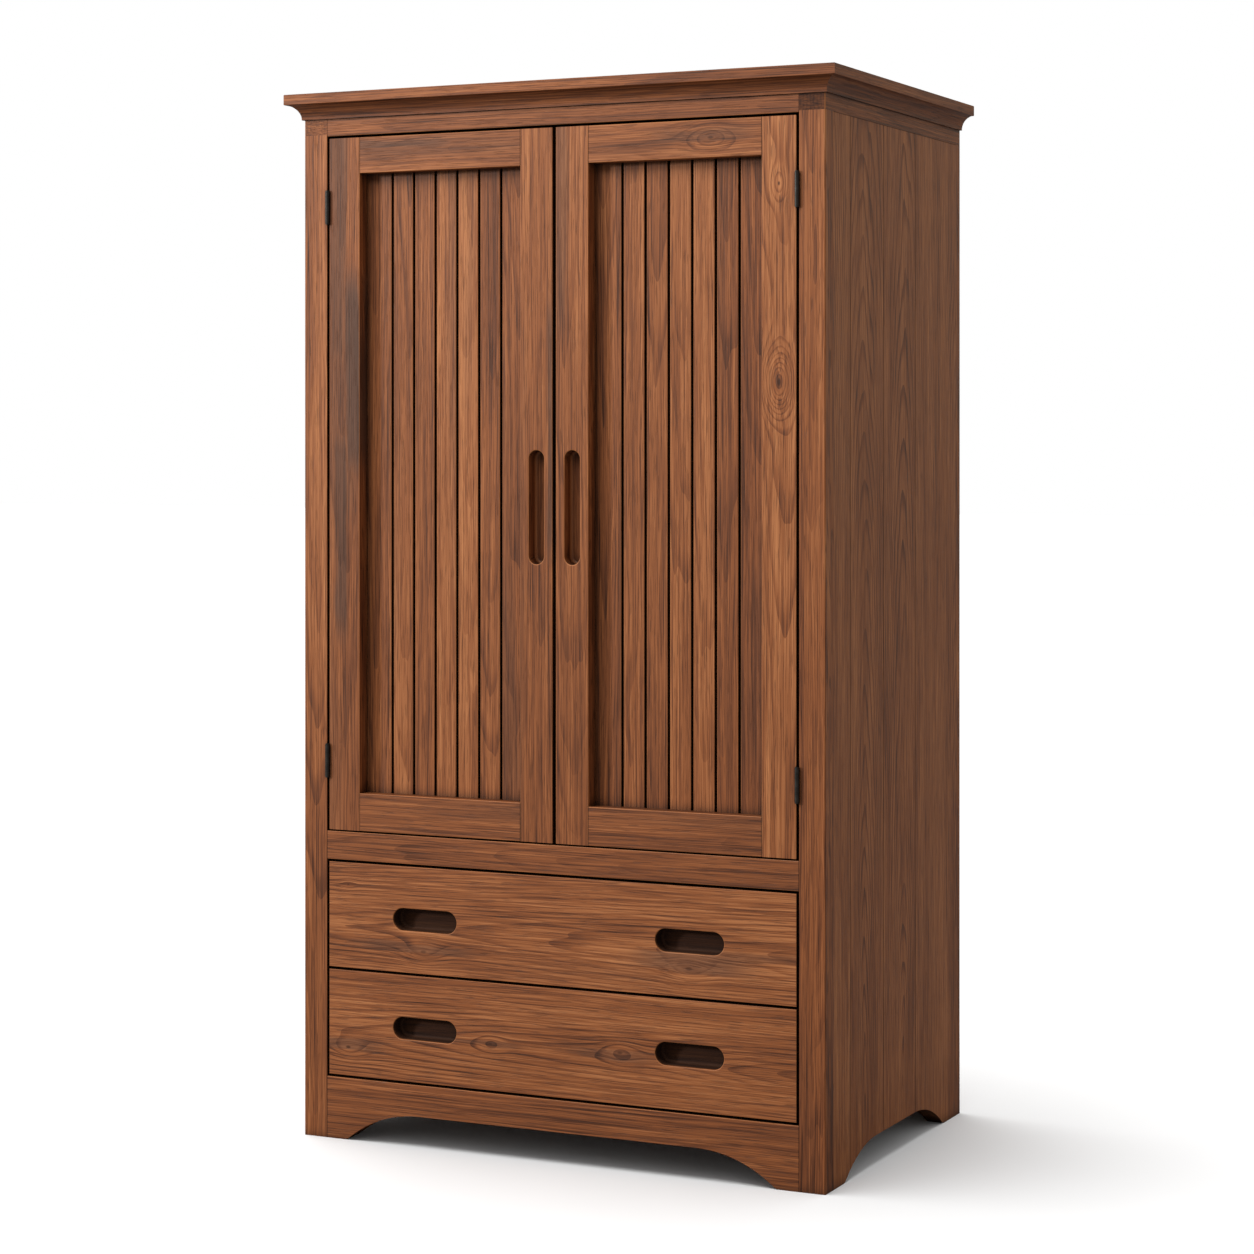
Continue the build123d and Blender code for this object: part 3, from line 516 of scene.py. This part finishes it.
def walnut_group(settings):
    """Colour, roughness and relief of walnut, from a place measured from the pith."""
    amounts = ("Tone", "Rings", "Grey", "Patch", "Core", "End", "Edge", "Shade")
    group, tree, given, result = new_group(
        "walnut_grain",
        [("Place", "Vector"), ("Seed", "Vector"), *((amount, "Float") for amount in amounts)],
        [("Color", "Color"), ("Roughness", "Float"), ("Height", "Float")],
    )
    seeded, place, fibres, radius = grain_places(tree, given["Place"], given["Seed"])
    middle = tree.noise(fibres, *MIDDLE)
    fine = tree.noise(fibres, *FINE)
    lines = tree.remap(tree.noise(fibres, *LINES), 0.57, 0.64, smooth=True)
    hairs = tree.remap(tree.noise(fibres, *HAIRS), 0.56, 0.66, smooth=True)
    pores = tree.remap(tree.noise(fibres, *PORES), 0.58, 0.68, smooth=True)
    rings = ring_lines(tree, seeded, place, radius, settings.ring_spacing)
    rings = tree.math("MULTIPLY", rings, given["Rings"])

    shade = tree.vary(MEAN_SHADE, tree.noise(place, *BROAD), BROAD_SHADE)
    shade = tree.vary(shade, middle, MIDDLE_SHADE)
    shade = tree.vary(shade, fine, FINE_SHADE)
    shade = tree.math("ADD", shade, given["Tone"])
    shade = tree.math("MULTIPLY_ADD", lines, LINE_SHADE, shade)
    shade = tree.math("MULTIPLY_ADD", hairs, HAIR_SHADE, shade)
    shade = tree.math("MULTIPLY_ADD", rings, RING_SHADE, shade, clamp=True)
    tree.feed(result["Color"], walnut_color(tree, given, settings, shade, pores, place))

    rough = tree.vary(settings.roughness, fine, 0.25)
    for amount, change in (("End", 0.18), ("Edge", -0.14), ("Shade", 0.35)):
        rough = tree.math("MULTIPLY_ADD", given[amount], change, rough)
    tree.feed(result["Roughness"], rough)
    height = tree.math("MULTIPLY_ADD", fine, 0.45, tree.math("MULTIPLY", middle, 0.35))
    tree.feed(result["Height"], tree.math("MULTIPLY_ADD", pores, -0.6, height))
    return group


def part_index(tree, across, joints):
    """Number of the board that a place lies on, counted across the joints."""
    index = 0.0
    for joint in joints:
        index = tree.math("ADD", index, tree.math("GREATER_THAN", across, joint))
    return index


def stepped(tree, across, joints, values):
    """Value of the board that a place lies on, one value for each board."""
    result = values[0]
    for joint, before, after in zip(joints, values, values[1:]):
        beyond = tree.math("GREATER_THAN", across, joint)
        result = tree.math("MULTIPLY_ADD", beyond, after - before, result)
    return result


def inside(tree, value, low, high, soft):
    """1 between two limits, falling to 0 over a soft margin outside them."""
    rise = tree.remap(value, low - soft, low, smooth=True)
    fall = tree.remap(value, high, high + soft, 1.0, 0.0, smooth=True)
    return tree.math("MULTIPLY", rise, fall)


def band_mask(tree, vector, bands):
    """Dark bands that run along the grain, with wandering edges and soft ends."""
    if not bands:
        return 0.0
    along, across, _ = tree.split(vector)
    place = tree.vary(across, tree.noise(vector, *BAND_EDGE), BAND_WOBBLE)
    total = 0.0
    for band in bands:
        dark = band.width * BAND_DARK
        fade = band.width * BAND_FADE
        mask = inside(tree, place, band.across - dark, band.across + dark, fade)
        length = inside(tree, along, band.start, band.end, BAND_END_FADE)
        mask = tree.math("MULTIPLY", mask, length)
        total = tree.math("MAXIMUM", total, tree.math("MULTIPLY", mask, band.strength))
    return total


def recess_mask(tree, axes, recesses):
    """Painted shade: 1 on the walls and floor of the finger pulls, rising from the rim inwards."""
    total = 0.0
    for low, high in recesses:
        mask = tree.remap(axes[1], low[1] + PULL_RIM, low[1] + PULL_DARK, smooth=True)
        mask = tree.math("MULTIPLY", mask, tree.math("LESS_THAN", axes[1], high[1] + PULL_MARGIN))
        short = min(high[axis] - low[axis] for axis in (0, 2))
        for axis in (0, 2):
            round_end = short / 2 if high[axis] - low[axis] > short else 0.0
            first = low[axis] - round_end - PULL_MARGIN
            last = high[axis] + round_end + PULL_MARGIN
            mask = tree.math("MULTIPLY", mask, tree.math("GREATER_THAN", axes[axis], first))
            mask = tree.math("MULTIPLY", mask, tree.math("LESS_THAN", axes[axis], last))
        total = tree.math("MAXIMUM", total, mask)
    return total


def seam_mask(tree, along, across, ends, joints):
    """Fine dark lines at both ends of a piece and between its boards."""
    half = (ends[1] - ends[0]) / 2
    reach = tree.math("ABSOLUTE", tree.math("SUBTRACT", along, ends[0] + half))
    total = tree.remap(reach, half - SEAM_AT_END, half - SEAM_CORE)
    for joint in joints:
        reach = tree.math("ABSOLUTE", tree.math("SUBTRACT", across, joint))
        total = tree.math("MAXIMUM", total, tree.remap(reach, SEAM_CORE, SEAM_AT_JOINT, 1.0, 0.0))
    return total


def bend_round_knots(tree, vector, knots, bender):
    """Grain bent round every knot, and a mask of their cores."""
    core = 0.0
    for knot in knots:
        bent = tree.group(bender)
        tree.feed(bent.inputs["Vector"], vector)
        bent.inputs["Middle"].default_value = (knot.along, knot.across, 0.0)
        bent.inputs["Size"].default_value = knot.size
        bent.inputs["Core"].default_value = knot.core
        bent.inputs["Rise"].default_value = knot.rise
        vector = bent.outputs["Vector"]
        core = tree.math("MAXIMUM", core, bent.outputs["Core"])
    return vector, core


def moved_marks(cut, along, across):
    """The knots and bands of a board, with their corner moved to a place."""
    knots = [knot._replace(along=knot.along + along, across=knot.across + across) for knot in cut.knots]
    bands = [
        band._replace(across=band.across + across, start=band.start + along, end=band.end + along)
        for band in cut.bands
    ]
    return knots, bands


def walnut_material(name, cut, groups, settings, rng):
    """Walnut for one piece, cut as its board says."""
    material, tree, shader = new_material(name)
    texture_place = tree.node("TexCoord")
    axes = tree.split(texture_place.outputs["Object"])
    normals = tree.split(texture_place.outputs["Normal"])
    along_axis = AXES.index(cut.grain)
    depth_axis = AXES.index(cut.face)
    across_axis = 3 - along_axis - depth_axis
    low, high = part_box(name)
    middle = (low + high) / 2
    knots, bands = moved_marks(cut, low[along_axis], low[across_axis])
    vector = tree.combine(axes[along_axis], axes[across_axis], axes[depth_axis])
    patch = band_mask(tree, vector, bands)
    vector, core = bend_round_knots(tree, vector, knots, groups["knot"])
    along, across, depth = tree.split(vector)

    # Each part draws its own place in the noise and its own tone.
    index = part_index(tree, axes[across_axis], cut.joints)
    dice = tree.node("TexWhiteNoise", noise_dimensions="1D")
    tree.feed(dice.inputs["W"], tree.math("ADD", index, rng.uniform(0.0, DICE_SPREAD)))
    edges = [low[across_axis], *cut.joints, high[across_axis]]
    shifts = cut.shifts or [0.0] * (len(edges) - 1)
    piths = [(first + second) / 2 + shift for first, second, shift in zip(edges, edges[1:], shifts)]
    pith = stepped(tree, axes[across_axis], cut.joints, piths)
    from_middle = tree.math("SUBTRACT", along, middle[along_axis])
    from_face = tree.math("SUBTRACT", depth, middle[depth_axis] + cut.pith[1])
    from_pith = tree.combine(
        along,
        tree.math("SUBTRACT", tree.math("SUBTRACT", across, pith), cut.pith[0]),
        tree.math("MULTIPLY_ADD", from_middle, cut.lean, from_face),
    )
    tone = stepped(tree, axes[across_axis], cut.joints, cut.tones) if cut.tones else cut.tone
    tone = tree.vary(tone, dice.outputs["Value"], cut.spread * 2.0)
    # Painted light: a piece with a fade grows paler along its grain, towards the top of an upright piece.
    if cut.fade:
        rise = tree.math("SUBTRACT", axes[along_axis], middle[along_axis])
        tone = tree.math("MULTIPLY_ADD", rise, cut.fade, tone)

    facing = tree.math("ABSOLUTE", normals[along_axis])
    # Where the normal tilts, on the eased edges, the wood gets a painted highlight.
    squared = tree.math("MULTIPLY", normals[depth_axis], normals[depth_axis])
    tilt = tree.math("MULTIPLY", squared, tree.math("SUBTRACT", 1.0, squared))
    # Painted shade in the finger pulls; dark seams are added to it below.
    shade = tree.math("MULTIPLY", recess_mask(tree, axes, cut.recesses), cut.pull_shade)
    if cut.seam:
        ends = (low[along_axis], high[along_axis])
        seams = seam_mask(tree, axes[along_axis], axes[across_axis], ends, cut.joints)
        shade = tree.math("MAXIMUM", shade, tree.math("MULTIPLY", seams, cut.seam))

    wood = tree.group(groups["walnut"])
    wood.inputs["Rings"].default_value = cut.rings
    wood.inputs["Grey"].default_value = cut.grey
    linked = {
        "Place": from_pith,
        "Seed": tree.vector("SCALE", dice.outputs["Color"], SEED_SPREAD),
        "Tone": tone,
        "Patch": patch,
        "Core": core,
        "End": tree.remap(facing, 0.6, 0.95, 0.0, cut.end),
        "Edge": tree.remap(tilt, 0.02, 0.2, 0.0, cut.edge_highlight_strength),
        "Shade": shade,
    }
    for socket, value in linked.items():
        tree.feed(wood.inputs[socket], value)
    tree.feed(shader.inputs["Base Color"], wood.outputs["Color"])
    tree.feed(shader.inputs["Roughness"], wood.outputs["Roughness"])
    shader.inputs["Specular IOR Level"].default_value = settings.gloss
    tree.bump(shader, wood.outputs["Height"], BUMP_STRENGTH, settings.relief)
    return material


def piece_size(node):
    """Width, depth and height of a piece."""
    low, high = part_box(node)
    return high - low


def gaps_between(node, axis):
    """Middles of the empty stretches between the separate solids of a node."""
    mesh = NODES[node].data
    spans = sorted(
        sorted(mesh.vertices[end].co[axis] for end in edge.vertices) for edge in mesh.edges
    )
    gaps = []
    reach = spans[0][1]
    for low, high in spans:
        if low > reach + SMALLEST_GAP:
            gaps.append((reach + low) / 2)
        reach = max(reach, high)
    return gaps


def pull_boxes(word):
    """Boxes of the finger pulls whose opening's name holds a word."""
    openings = frame["record"]["physics"]["openings"]
    pulls = [item for item in openings if item["name"].endswith("pull")]
    return [item["box_m"] for item in pulls if word in item["name"]]


def put_on(node, material):
    """Give a carried-over piece its finish."""
    mesh = NODES[node].data
    mesh.materials.clear()
    mesh.materials.append(material)


def walnut_groups(settings):
    """The two shader groups of the walnut, made once."""
    names = {"walnut": "walnut_grain", "knot": "grain_round_knot"}
    found = {key: bpy.data.node_groups.get(name) for key, name in names.items()}
    if not found["walnut"]:
        found = {"walnut": walnut_group(settings), "knot": knot_group()}
    return found


def finish_boards(cuts):
    """Finish every piece of a {node: board} table."""
    settings = bpy.context.scene.cabinet_walnut
    groups = walnut_groups(settings)
    for node, cut in cuts.items():
        rng = random.Random(node)
        put_on(node, walnut_material(node, cut, groups, settings, rng))


# --- Metal -------------------------------------------------------------------
METAL_SPOTS = Layer((120.0, 120.0, 120.0), 3.0, 0.6)
METAL_BRUSHING = Layer((900.0, 900.0, 60.0), 2.0)
METAL_BUMP_STRENGTH = 0.3
METAL_BUMP_DEPTH = 0.0001


def metal_material(name, color, metallic, roughness):
    """Blackened or plain metal with faint brushing and rubbed spots."""
    material, tree, shader = new_material(name)
    place = tree.node("TexCoord").outputs["Object"]
    spots = tree.noise(place, *METAL_SPOTS)
    brushing = tree.noise(place, *METAL_BRUSHING)
    rubbed = tree.blend(tree.remap(spots, 0.35, 0.7), rgba(color, 0.75), rgba(color, 1.7))
    tree.feed(shader.inputs["Base Color"], rubbed)
    shader.inputs["Metallic"].default_value = metallic
    tree.feed(shader.inputs["Roughness"], tree.vary(roughness, brushing, 0.25))
    tree.bump(shader, brushing, METAL_BUMP_STRENGTH, METAL_BUMP_DEPTH)
    return material


# --- Operators: one for each group of like pieces ----------------------------
class CABINET_OT_finish_posts(bpy.types.Operator):
    """Finish the four corner posts"""

    bl_idname = "cabinet.finish_posts"
    bl_label = "Finish Posts"

    shades = {"left": (-0.07, 0.03), "right": (-0.06, 0.16)}  # tone, and fade: painted light, paler towards the top

    def execute(self, context):
        cuts = {}
        for side in SIDES:
            tone, fade = self.shades[side]
            cuts[f"{side}_front_post"] = Board(
                "Z", "Y", rings=0.5, grey=0.2, tone=tone, fade=fade, edge_highlight_strength=0.0
            )
            cuts[f"{side}_rear_post"] = Board("Z", "Y")
        finish_boards(cuts)
        return {"FINISHED"}


class CABINET_OT_finish_sides(bpy.types.Operator):
    """Finish the glued-up side panels and the frieze rails over them"""

    bl_idname = "cabinet.finish_sides"
    bl_label = "Finish Sides"

    joints = (0.051, 0.155, 0.260)  # metres behind the front edge
    pith_shifts = (-0.075, -0.006, 0.010, 0.080)
    pith_depths = {"left": 0.030, "right": -0.030}
    end_grain = {"left": 0.25, "right": 1.0}

    def execute(self, context):
        low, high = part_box("left_side_panel")
        joints = tuple(low.y + joint for joint in self.joints)
        cuts = {}
        for side in SIDES:
            cuts[f"{side}_side_panel"] = Board(
                "Z", "X", joints=joints, rings=0.9, lean=0.07, pith=(0.0, self.pith_depths[side]),
                shifts=self.pith_shifts, grey=0.1, tone=0.06, spread=0.08, seam=0.7,
            )
            # The frieze rails are darker than the sides: grey wood, and painted shade under the cornice.
            cuts[f"{side}_frieze_rail"] = Board(
                "Y", "X", tone=-0.10, grey=0.6, end=self.end_grain[side]
            )
        finish_boards(cuts)
        return {"FINISHED"}


class CABINET_OT_finish_rails(bpy.types.Operator):
    """Finish the cross rails of the carcass"""

    bl_idname = "cabinet.finish_rails"
    bl_label = "Finish Rails"

    def execute(self, context):
        rails = ("top_rail", "base_rail", "rear_base_rail", "rear_top_rail", "door_stop")
        cuts = {rail: Board("X", "Y", grey=0.15, tone=-0.08, seam=0.6) for rail in rails}
        cuts["mid_rail"] = Board("X", "Y", grey=0.2, tone=-0.13, seam=0.6)
        finish_boards(cuts)
        return {"FINISHED"}


class CABINET_OT_finish_cornice(bpy.types.Operator):
    """Finish the cornice runs and the top panel"""

    bl_idname = "cabinet.finish_cornice"
    bl_label = "Finish Cornice"

    top_joints = (0.13, 0.26)  # metres behind the front edge

    def execute(self, context):
        low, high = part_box("top_panel")
        joints = tuple(low.y + joint for joint in self.top_joints)
        finish_boards(
            {
                "cornice_front": Board("X", "Y", grey=0.1, tone=-0.18, edge_highlight_strength=0.0),
                "cornice_left": Board("Y", "X", grey=0.2, tone=-0.14, edge_highlight_strength=0.0),
                "cornice_right": Board("Y", "X", grey=0.2, tone=-0.14, edge_highlight_strength=0.0),
                "top_panel": Board(
                    "X", "Z", joints=joints, rings=0.7, lean=0.035, pith=(0.0, -0.012)
                ),
            }
        )
        return {"FINISHED"}


class CABINET_OT_finish_door_frames(bpy.types.Operator):
    """Finish the stiles and rails of both doors"""

    bl_idname = "cabinet.finish_door_frames"
    bl_label = "Finish Door Frames"

    def execute(self, context):
        stile = piece_size("left_door_hinge_stile")
        rail = piece_size("left_door_top_rail")
        # At the meeting edges: on the left door a painted shadow, on the right door a grey streak of
        # heartwood.
        painted_shadow_and_grey_streak = {
            "left": Band(stile.x, 0.016, 0.75, 0.36, 0.58),
            "right": Band(0.0, 0.030, 0.5, stile.z - 0.20, stile.z),
        }
        cuts = {}
        for side, tone in (("left", -0.13), ("right", -0.08)):
            # The pull stiles fade: painted light, paler towards the top.
            cuts[f"{side}_door_pull_stile"] = Board(
                "Z", "Y", grey=0.2, tone=-0.04, fade=0.10, bands=(painted_shadow_and_grey_streak[side],),
                recesses=pull_boxes(f"{side}_door"), pull_shade=0.1,
            )
            cuts[f"{side}_door_bottom_rail"] = Board("X", "Y", tone=tone, seam=0.6)
        cuts["left_door_top_rail"] = Board(
            "X", "Y", tone=-0.12, seam=0.6, bands=(Band(rail.z - 0.010, 0.012, 0.7, 0.0, 0.09),)
        )
        cuts["right_door_top_rail"] = Board(
            "X", "Y", grey=0.1, rings=0.5, tone=0.06, seam=0.6,
            knots=(Knot(0.151, 0.022, 0.013, 0.7, 0.012),),
            bands=(Band(0.026, 0.014, 0.5, 0.115, 0.165),),
        )
        cuts["left_door_hinge_stile"] = Board(
            "Z", "Y", tone=-0.03,
            bands=(
                Band(0.30 * stile.x, 0.62 * stile.x, 0.62, stile.z - 0.24, stile.z),
                Band(0.45 * stile.x, 0.90 * stile.x, 0.45, 0.40, stile.z - 0.20),
                Band(0.80 * stile.x, 0.40 * stile.x, 0.92, 0.45, 0.62),
                Band(0.42 * stile.x, 0.42 * stile.x, 0.80, 0.26, 0.44),
            ),
        )
        cuts["right_door_hinge_stile"] = Board(
            "Z", "Y", rings=0.65, grey=0.0, tone=0.11,
            knots=(
                Knot(0.5215, stile.x / 2, 0.017, 1.0, 0.028),
                Knot(stile.z - 0.074, stile.x / 2, 0.009, 0.9, 0.007),
            ),
        )
        finish_boards(cuts)
        return {"FINISHED"}


class CABINET_OT_finish_slats(bpy.types.Operator):
    """Finish the slats and their backing, each slat with a tone of its own"""

    bl_idname = "cabinet.finish_slats"
    bl_label = "Finish Slats"

    tones = {
        "left": (-0.02, 0.0, -0.03, 0.07, 0.13, -0.06, -0.12),
        "right": (0.0, 0.05, -0.07, 0.06, 0.11, -0.12, -0.10),
    }

    def execute(self, context):
        cuts = {}
        for side in SIDES:
            slats = f"{side}_door_slats"
            joints = gaps_between(slats, AXES.index("X"))
            cuts[slats] = Board(
                "Z", "Y", rings=0.5, grey=0.35, spread=0.03, joints=joints, tones=self.tones[side]
            )
            # The backing is darker: painted shade deep in the gaps between the slats.
            cuts[f"{side}_door_backing"] = Board("Z", "Y", tone=-0.2)
        finish_boards(cuts)
        return {"FINISHED"}


class CABINET_OT_finish_drawers(bpy.types.Operator):
    """Finish the drawer fronts and boxes"""

    bl_idname = "cabinet.finish_drawers"
    bl_label = "Finish Drawers"

    knots = {
        "upper": (
            Knot(0.127, 0.0261, 0.014, 0.5, 0.009),
            Knot(0.465, 0.0321, 0.015, 0.5, 0.010),
            Knot(0.026, 0.0981, 0.006, 0.8, 0.003),
        ),
        "lower": (
            Knot(0.026, 0.0337, 0.012, 0.8, 0.007),
            Knot(0.215, 0.0537, 0.009, 0.7, 0.005),
            Knot(0.380, 0.0577, 0.012, 0.6, 0.007),
        ),
    }
    streaks = {
        "upper": (
            Band(0.0291, 0.014, 0.55, 0.072, 0.162),
            Band(0.0381, 0.020, 0.60, 0.432, 0.502),
            Band(0.0501, 0.010, 0.40, 0.512, 0.572),
        ),
        "lower": (
            Band(0.0357, 0.016, 0.60, 0.001, 0.035),
            Band(0.0527, 0.008, 0.50, 0.187, 0.222),
            Band(0.0557, 0.013, 0.50, 0.347, 0.385),
        ),
    }

    def execute(self, context):
        cuts = {}
        for drawer in DRAWERS:
            cuts[f"{drawer}_drawer_front"] = Board(
                "X", "Y", rings=0.8, lean=0.045, pith=(-0.01, 0.02), grey=0.15, tone=0.05, edge_highlight_strength=0.6,
                knots=self.knots[drawer], bands=self.streaks[drawer],
                recesses=pull_boxes(f"{drawer}_drawer"), pull_shade=0.9,
            )
            for side in SIDES:
                cuts[f"{drawer}_drawer_{side}_side"] = Board("Y", "X", tone=0.1)
            cuts[f"{drawer}_drawer_back"] = Board("X", "Y", tone=0.1)
            cuts[f"{drawer}_drawer_bottom"] = Board("X", "Z", tone=0.12)
        finish_boards(cuts)
        return {"FINISHED"}


class CABINET_OT_finish_inside(bpy.types.Operator):
    """Finish the floors, shelves, back, runners and stops"""

    bl_idname = "cabinet.finish_inside"
    bl_label = "Finish Inside"

    def execute(self, context):
        cuts = {
            "back_panel": Board("Z", "Y", tone=0.02),
            "cupboard_floor": Board("X", "Z"),
            "bottom_panel": Board("X", "Z"),
            "drawer_runners": Board("Y", "X", tone=0.1),
            "drawer_stops": Board("Y", "X", tone=0.1),
        }
        for node in NODES:
            if node.startswith("shelf_") and node != "shelf_pins":
                cuts[node] = Board("X", "Z", tone=0.03)
        finish_boards(cuts)
        return {"FINISHED"}


class CABINET_OT_finish_hinges(bpy.types.Operator):
    """Finish the butt hinges with their pins and screws"""

    bl_idname = "cabinet.finish_hinges"
    bl_label = "Finish Hinges"

    def execute(self, context):
        black = metal_material("blackened_steel", context.scene.cabinet_metal.black, 0.6, 0.42)
        for node in NODES:
            if "hinge_leaves" in node or "hinge_screws" in node or node == "hinge_pins":
                put_on(node, black)
        return {"FINISHED"}


class CABINET_OT_finish_fittings(bpy.types.Operator):
    """Finish the magnets, strikes and shelf pins"""

    bl_idname = "cabinet.finish_fittings"
    bl_label = "Finish Fittings"

    def execute(self, context):
        steel = metal_material("plain_steel", context.scene.cabinet_metal.steel, 1.0, 0.35)
        for node in ("catch_magnets", "left_door_strike", "right_door_strike", "shelf_pins"):
            put_on(node, steel)
        return {"FINISHED"}


# --- Studio ------------------------------------------------------------------
FLOOR_SIZE = 60.0
FLOOR_TINT = (0.80, 0.87, 1.0)
FLOOR_MOTTLE = Layer((3.0, 3.0, 3.0), 2.0)
FLOOR_BOUNCE = 0.2
FLOOR_LIGHT_WAY = (0.22, 0.05, -1.0)
FLOOR_LIGHT_ANGLE = math.radians(50.0)
KEY_DISTANCE = 6.0
KEY_AIM = (0.0, 0.0, 0.75)
KEY_SIZE = 0.7
KEY_COLOR = (1.0, 0.97, 0.92)
FILL_PLACE = (-0.9, -2.0, 2.7)
FILL_AIM = (0.0, 0.0, 1.1)
FILL_SIZE = 1.5
FILL_COLOR = (1.0, 0.97, 0.93)
SENSOR_WIDTH = 36.0


def turned(direction):
    """Rotation that points a light along a direction."""
    return Vector(direction).to_track_quat("-Z", "Y").to_euler()


def area_light(name, place, target, size, power, color):
    """Square soft light at a place, turned towards a target."""
    data = bpy.data.lights.new(name, "AREA")
    data.shape = "SQUARE"
    data.size = size
    data.energy = power
    data.color = color
    light = bpy.data.objects.new(name, data)
    light.location = place
    light.rotation_euler = turned(Vector(target) - Vector(place))
    bpy.context.scene.collection.objects.link(light)
    return light


def floor_material():
    """Plain pale floor that throws little light back on the cabinet."""
    material, tree, shader = new_material("studio_floor")
    place = tree.node("TexCoord").outputs["Object"]
    pale = tree.remap(tree.noise(place, *FLOOR_MOTTLE), 0.3, 0.7, 0.97, 0.99)
    seen = tree.node("LightPath").outputs["Is Camera Ray"]
    shade = tree.math("MULTIPLY", pale, tree.remap(seen, 0.0, 1.0, FLOOR_BOUNCE, 1.0))
    tree.feed(shader.inputs["Base Color"], tree.vector("SCALE", FLOOR_TINT, shade))
    shader.inputs["Roughness"].default_value = 0.9
    shader.inputs["Specular IOR Level"].default_value = 0.1
    return material


def studio_world(strength):
    """Surroundings that look white and light the cabinet softly and warmly."""
    world = bpy.data.worlds.new("studio_white")
    world.use_nodes = True
    tree = Tree(world.node_tree)
    background = world.node_tree.nodes["Background"]
    seen = tree.node("LightPath").outputs["Is Camera Ray"]
    tree.feed(background.inputs["Color"], tree.blend(seen, rgba(WARM), WHITE))
    glow = tree.math("MULTIPLY_ADD", seen, 1.0 - strength, strength)
    tree.feed(background.inputs["Strength"], glow)
    bpy.context.scene.world = world


def floor_light(floor, strength):
    """Broad light from above that reaches the floor alone."""
    data = bpy.data.lights.new("floor_light", "SUN")
    data.energy = strength
    data.color = WARM
    data.angle = FLOOR_LIGHT_ANGLE
    light = bpy.data.objects.new("floor_light", data)
    light.rotation_euler = turned(FLOOR_LIGHT_WAY)
    bpy.context.scene.collection.objects.link(light)
    lit = bpy.data.collections.new("lit_by_floor_light")
    lit.objects.link(floor)
    light.light_linking.receiver_collection = lit


def keep_off_floor(lights, floor):
    """Let these lights reach everything but the floor."""
    unlit = bpy.data.collections.new("unlit_by_cabinet_lights")
    unlit.objects.link(floor)
    unlit.collection_objects[0].light_linking.link_state = "EXCLUDE"
    for light in lights:
        light.light_linking.receiver_collection = unlit


def lay_floor():
    """Wide floor under the feet of the cabinet."""
    bpy.ops.mesh.primitive_plane_add(size=FLOOR_SIZE, location=(0.0, 0.0, CAD_BOX[0][2]))
    floor = bpy.context.active_object
    floor.name = "studio_floor"
    floor.data.materials.append(floor_material())
    return floor


def cabinet_lights(studio):
    """Key light from the front left, and a fill light close above the cabinet."""
    key_place = (
        -math.sin(studio.key_angle) * KEY_DISTANCE,
        -math.cos(studio.key_angle) * KEY_DISTANCE,
        studio.key_height,
    )
    return (
        area_light("key_light", key_place, KEY_AIM, KEY_SIZE, studio.key_power, KEY_COLOR),
        area_light("fill_light", FILL_PLACE, FILL_AIM, FILL_SIZE, studio.fill_power, FILL_COLOR),
    )


def set_camera(studio):
    """Level camera, whose lens shift brings the whole cabinet into view."""
    data = bpy.data.cameras.new("camera")
    data.lens = studio.lens
    data.sensor_width = SENSOR_WIDTH
    data.shift_y = studio.shift
    camera = bpy.data.objects.new("camera", data)
    outward = Vector((math.sin(studio.azimuth), -math.cos(studio.azimuth), 0.0))
    sideways = Vector((math.cos(studio.azimuth), math.sin(studio.azimuth), 0.0))
    camera.location = outward * studio.distance + sideways * studio.aim_offset
    camera.location.z = studio.eye_height
    camera.rotation_euler = (math.pi / 2, 0.0, studio.azimuth)
    bpy.context.scene.collection.objects.link(camera)
    bpy.context.scene.camera = camera


class CABINET_OT_build_studio(bpy.types.Operator):
    """Lay the floor and set up the lights and the camera"""

    bl_idname = "cabinet.build_studio"
    bl_label = "Build Studio"

    def execute(self, context):
        studio = context.scene.cabinet_studio
        floor = lay_floor()
        studio_world(studio.sky)
        floor_light(floor, studio.floor_light)
        keep_off_floor(cabinet_lights(studio), floor)
        set_camera(studio)
        context.scene.view_settings.view_transform = "Standard"
        return {"FINISHED"}


OPERATORS = (
    CABINET_OT_finish_posts,
    CABINET_OT_finish_sides,
    CABINET_OT_finish_rails,
    CABINET_OT_finish_cornice,
    CABINET_OT_finish_door_frames,
    CABINET_OT_finish_slats,
    CABINET_OT_finish_drawers,
    CABINET_OT_finish_inside,
    CABINET_OT_finish_hinges,
    CABINET_OT_finish_fittings,
    CABINET_OT_build_studio,
)
SETTINGS = (
    ("cabinet_walnut", CABINET_PG_walnut),
    ("cabinet_metal", CABINET_PG_metal),
    ("cabinet_studio", CABINET_PG_studio),
)


class CABINET_PT_main(bpy.types.Panel):
    """Lists the steps that finish the cabinet"""

    bl_idname = "CABINET_PT_main"
    bl_label = "Shoe Cabinet"
    bl_space_type = "VIEW_3D"
    bl_region_type = "UI"
    bl_category = "Cabinet"

    def draw(self, context):
        for operator in OPERATORS:
            self.layout.operator(operator.bl_idname)
        for name, group in SETTINGS:
            column = self.layout.box().column()
            for field in group.__annotations__:
                column.prop(getattr(context.scene, name), field)


def register():
    for name, group in SETTINGS:
        bpy.utils.register_class(group)
        setattr(bpy.types.Scene, name, PointerProperty(type=group))
    for operator in OPERATORS:
        bpy.utils.register_class(operator)
    bpy.utils.register_class(CABINET_PT_main)


def unregister():
    bpy.utils.unregister_class(CABINET_PT_main)
    for operator in reversed(OPERATORS):
        bpy.utils.unregister_class(operator)
    for name, group in reversed(SETTINGS):
        delattr(bpy.types.Scene, name)
        bpy.utils.unregister_class(group)


def run_operator(operator):
    """Run one operator through bpy.ops, and stop if it didn't finish."""
    area, step = operator.bl_idname.split(".")
    result = getattr(getattr(bpy.ops, area), step)()
    if result != {"FINISHED"}:
        raise RuntimeError(f"{operator.bl_idname} did not finish")


def main():
    register()
    for operator in OPERATORS:
        run_operator(operator)


if __name__ == "__main__":
    main()
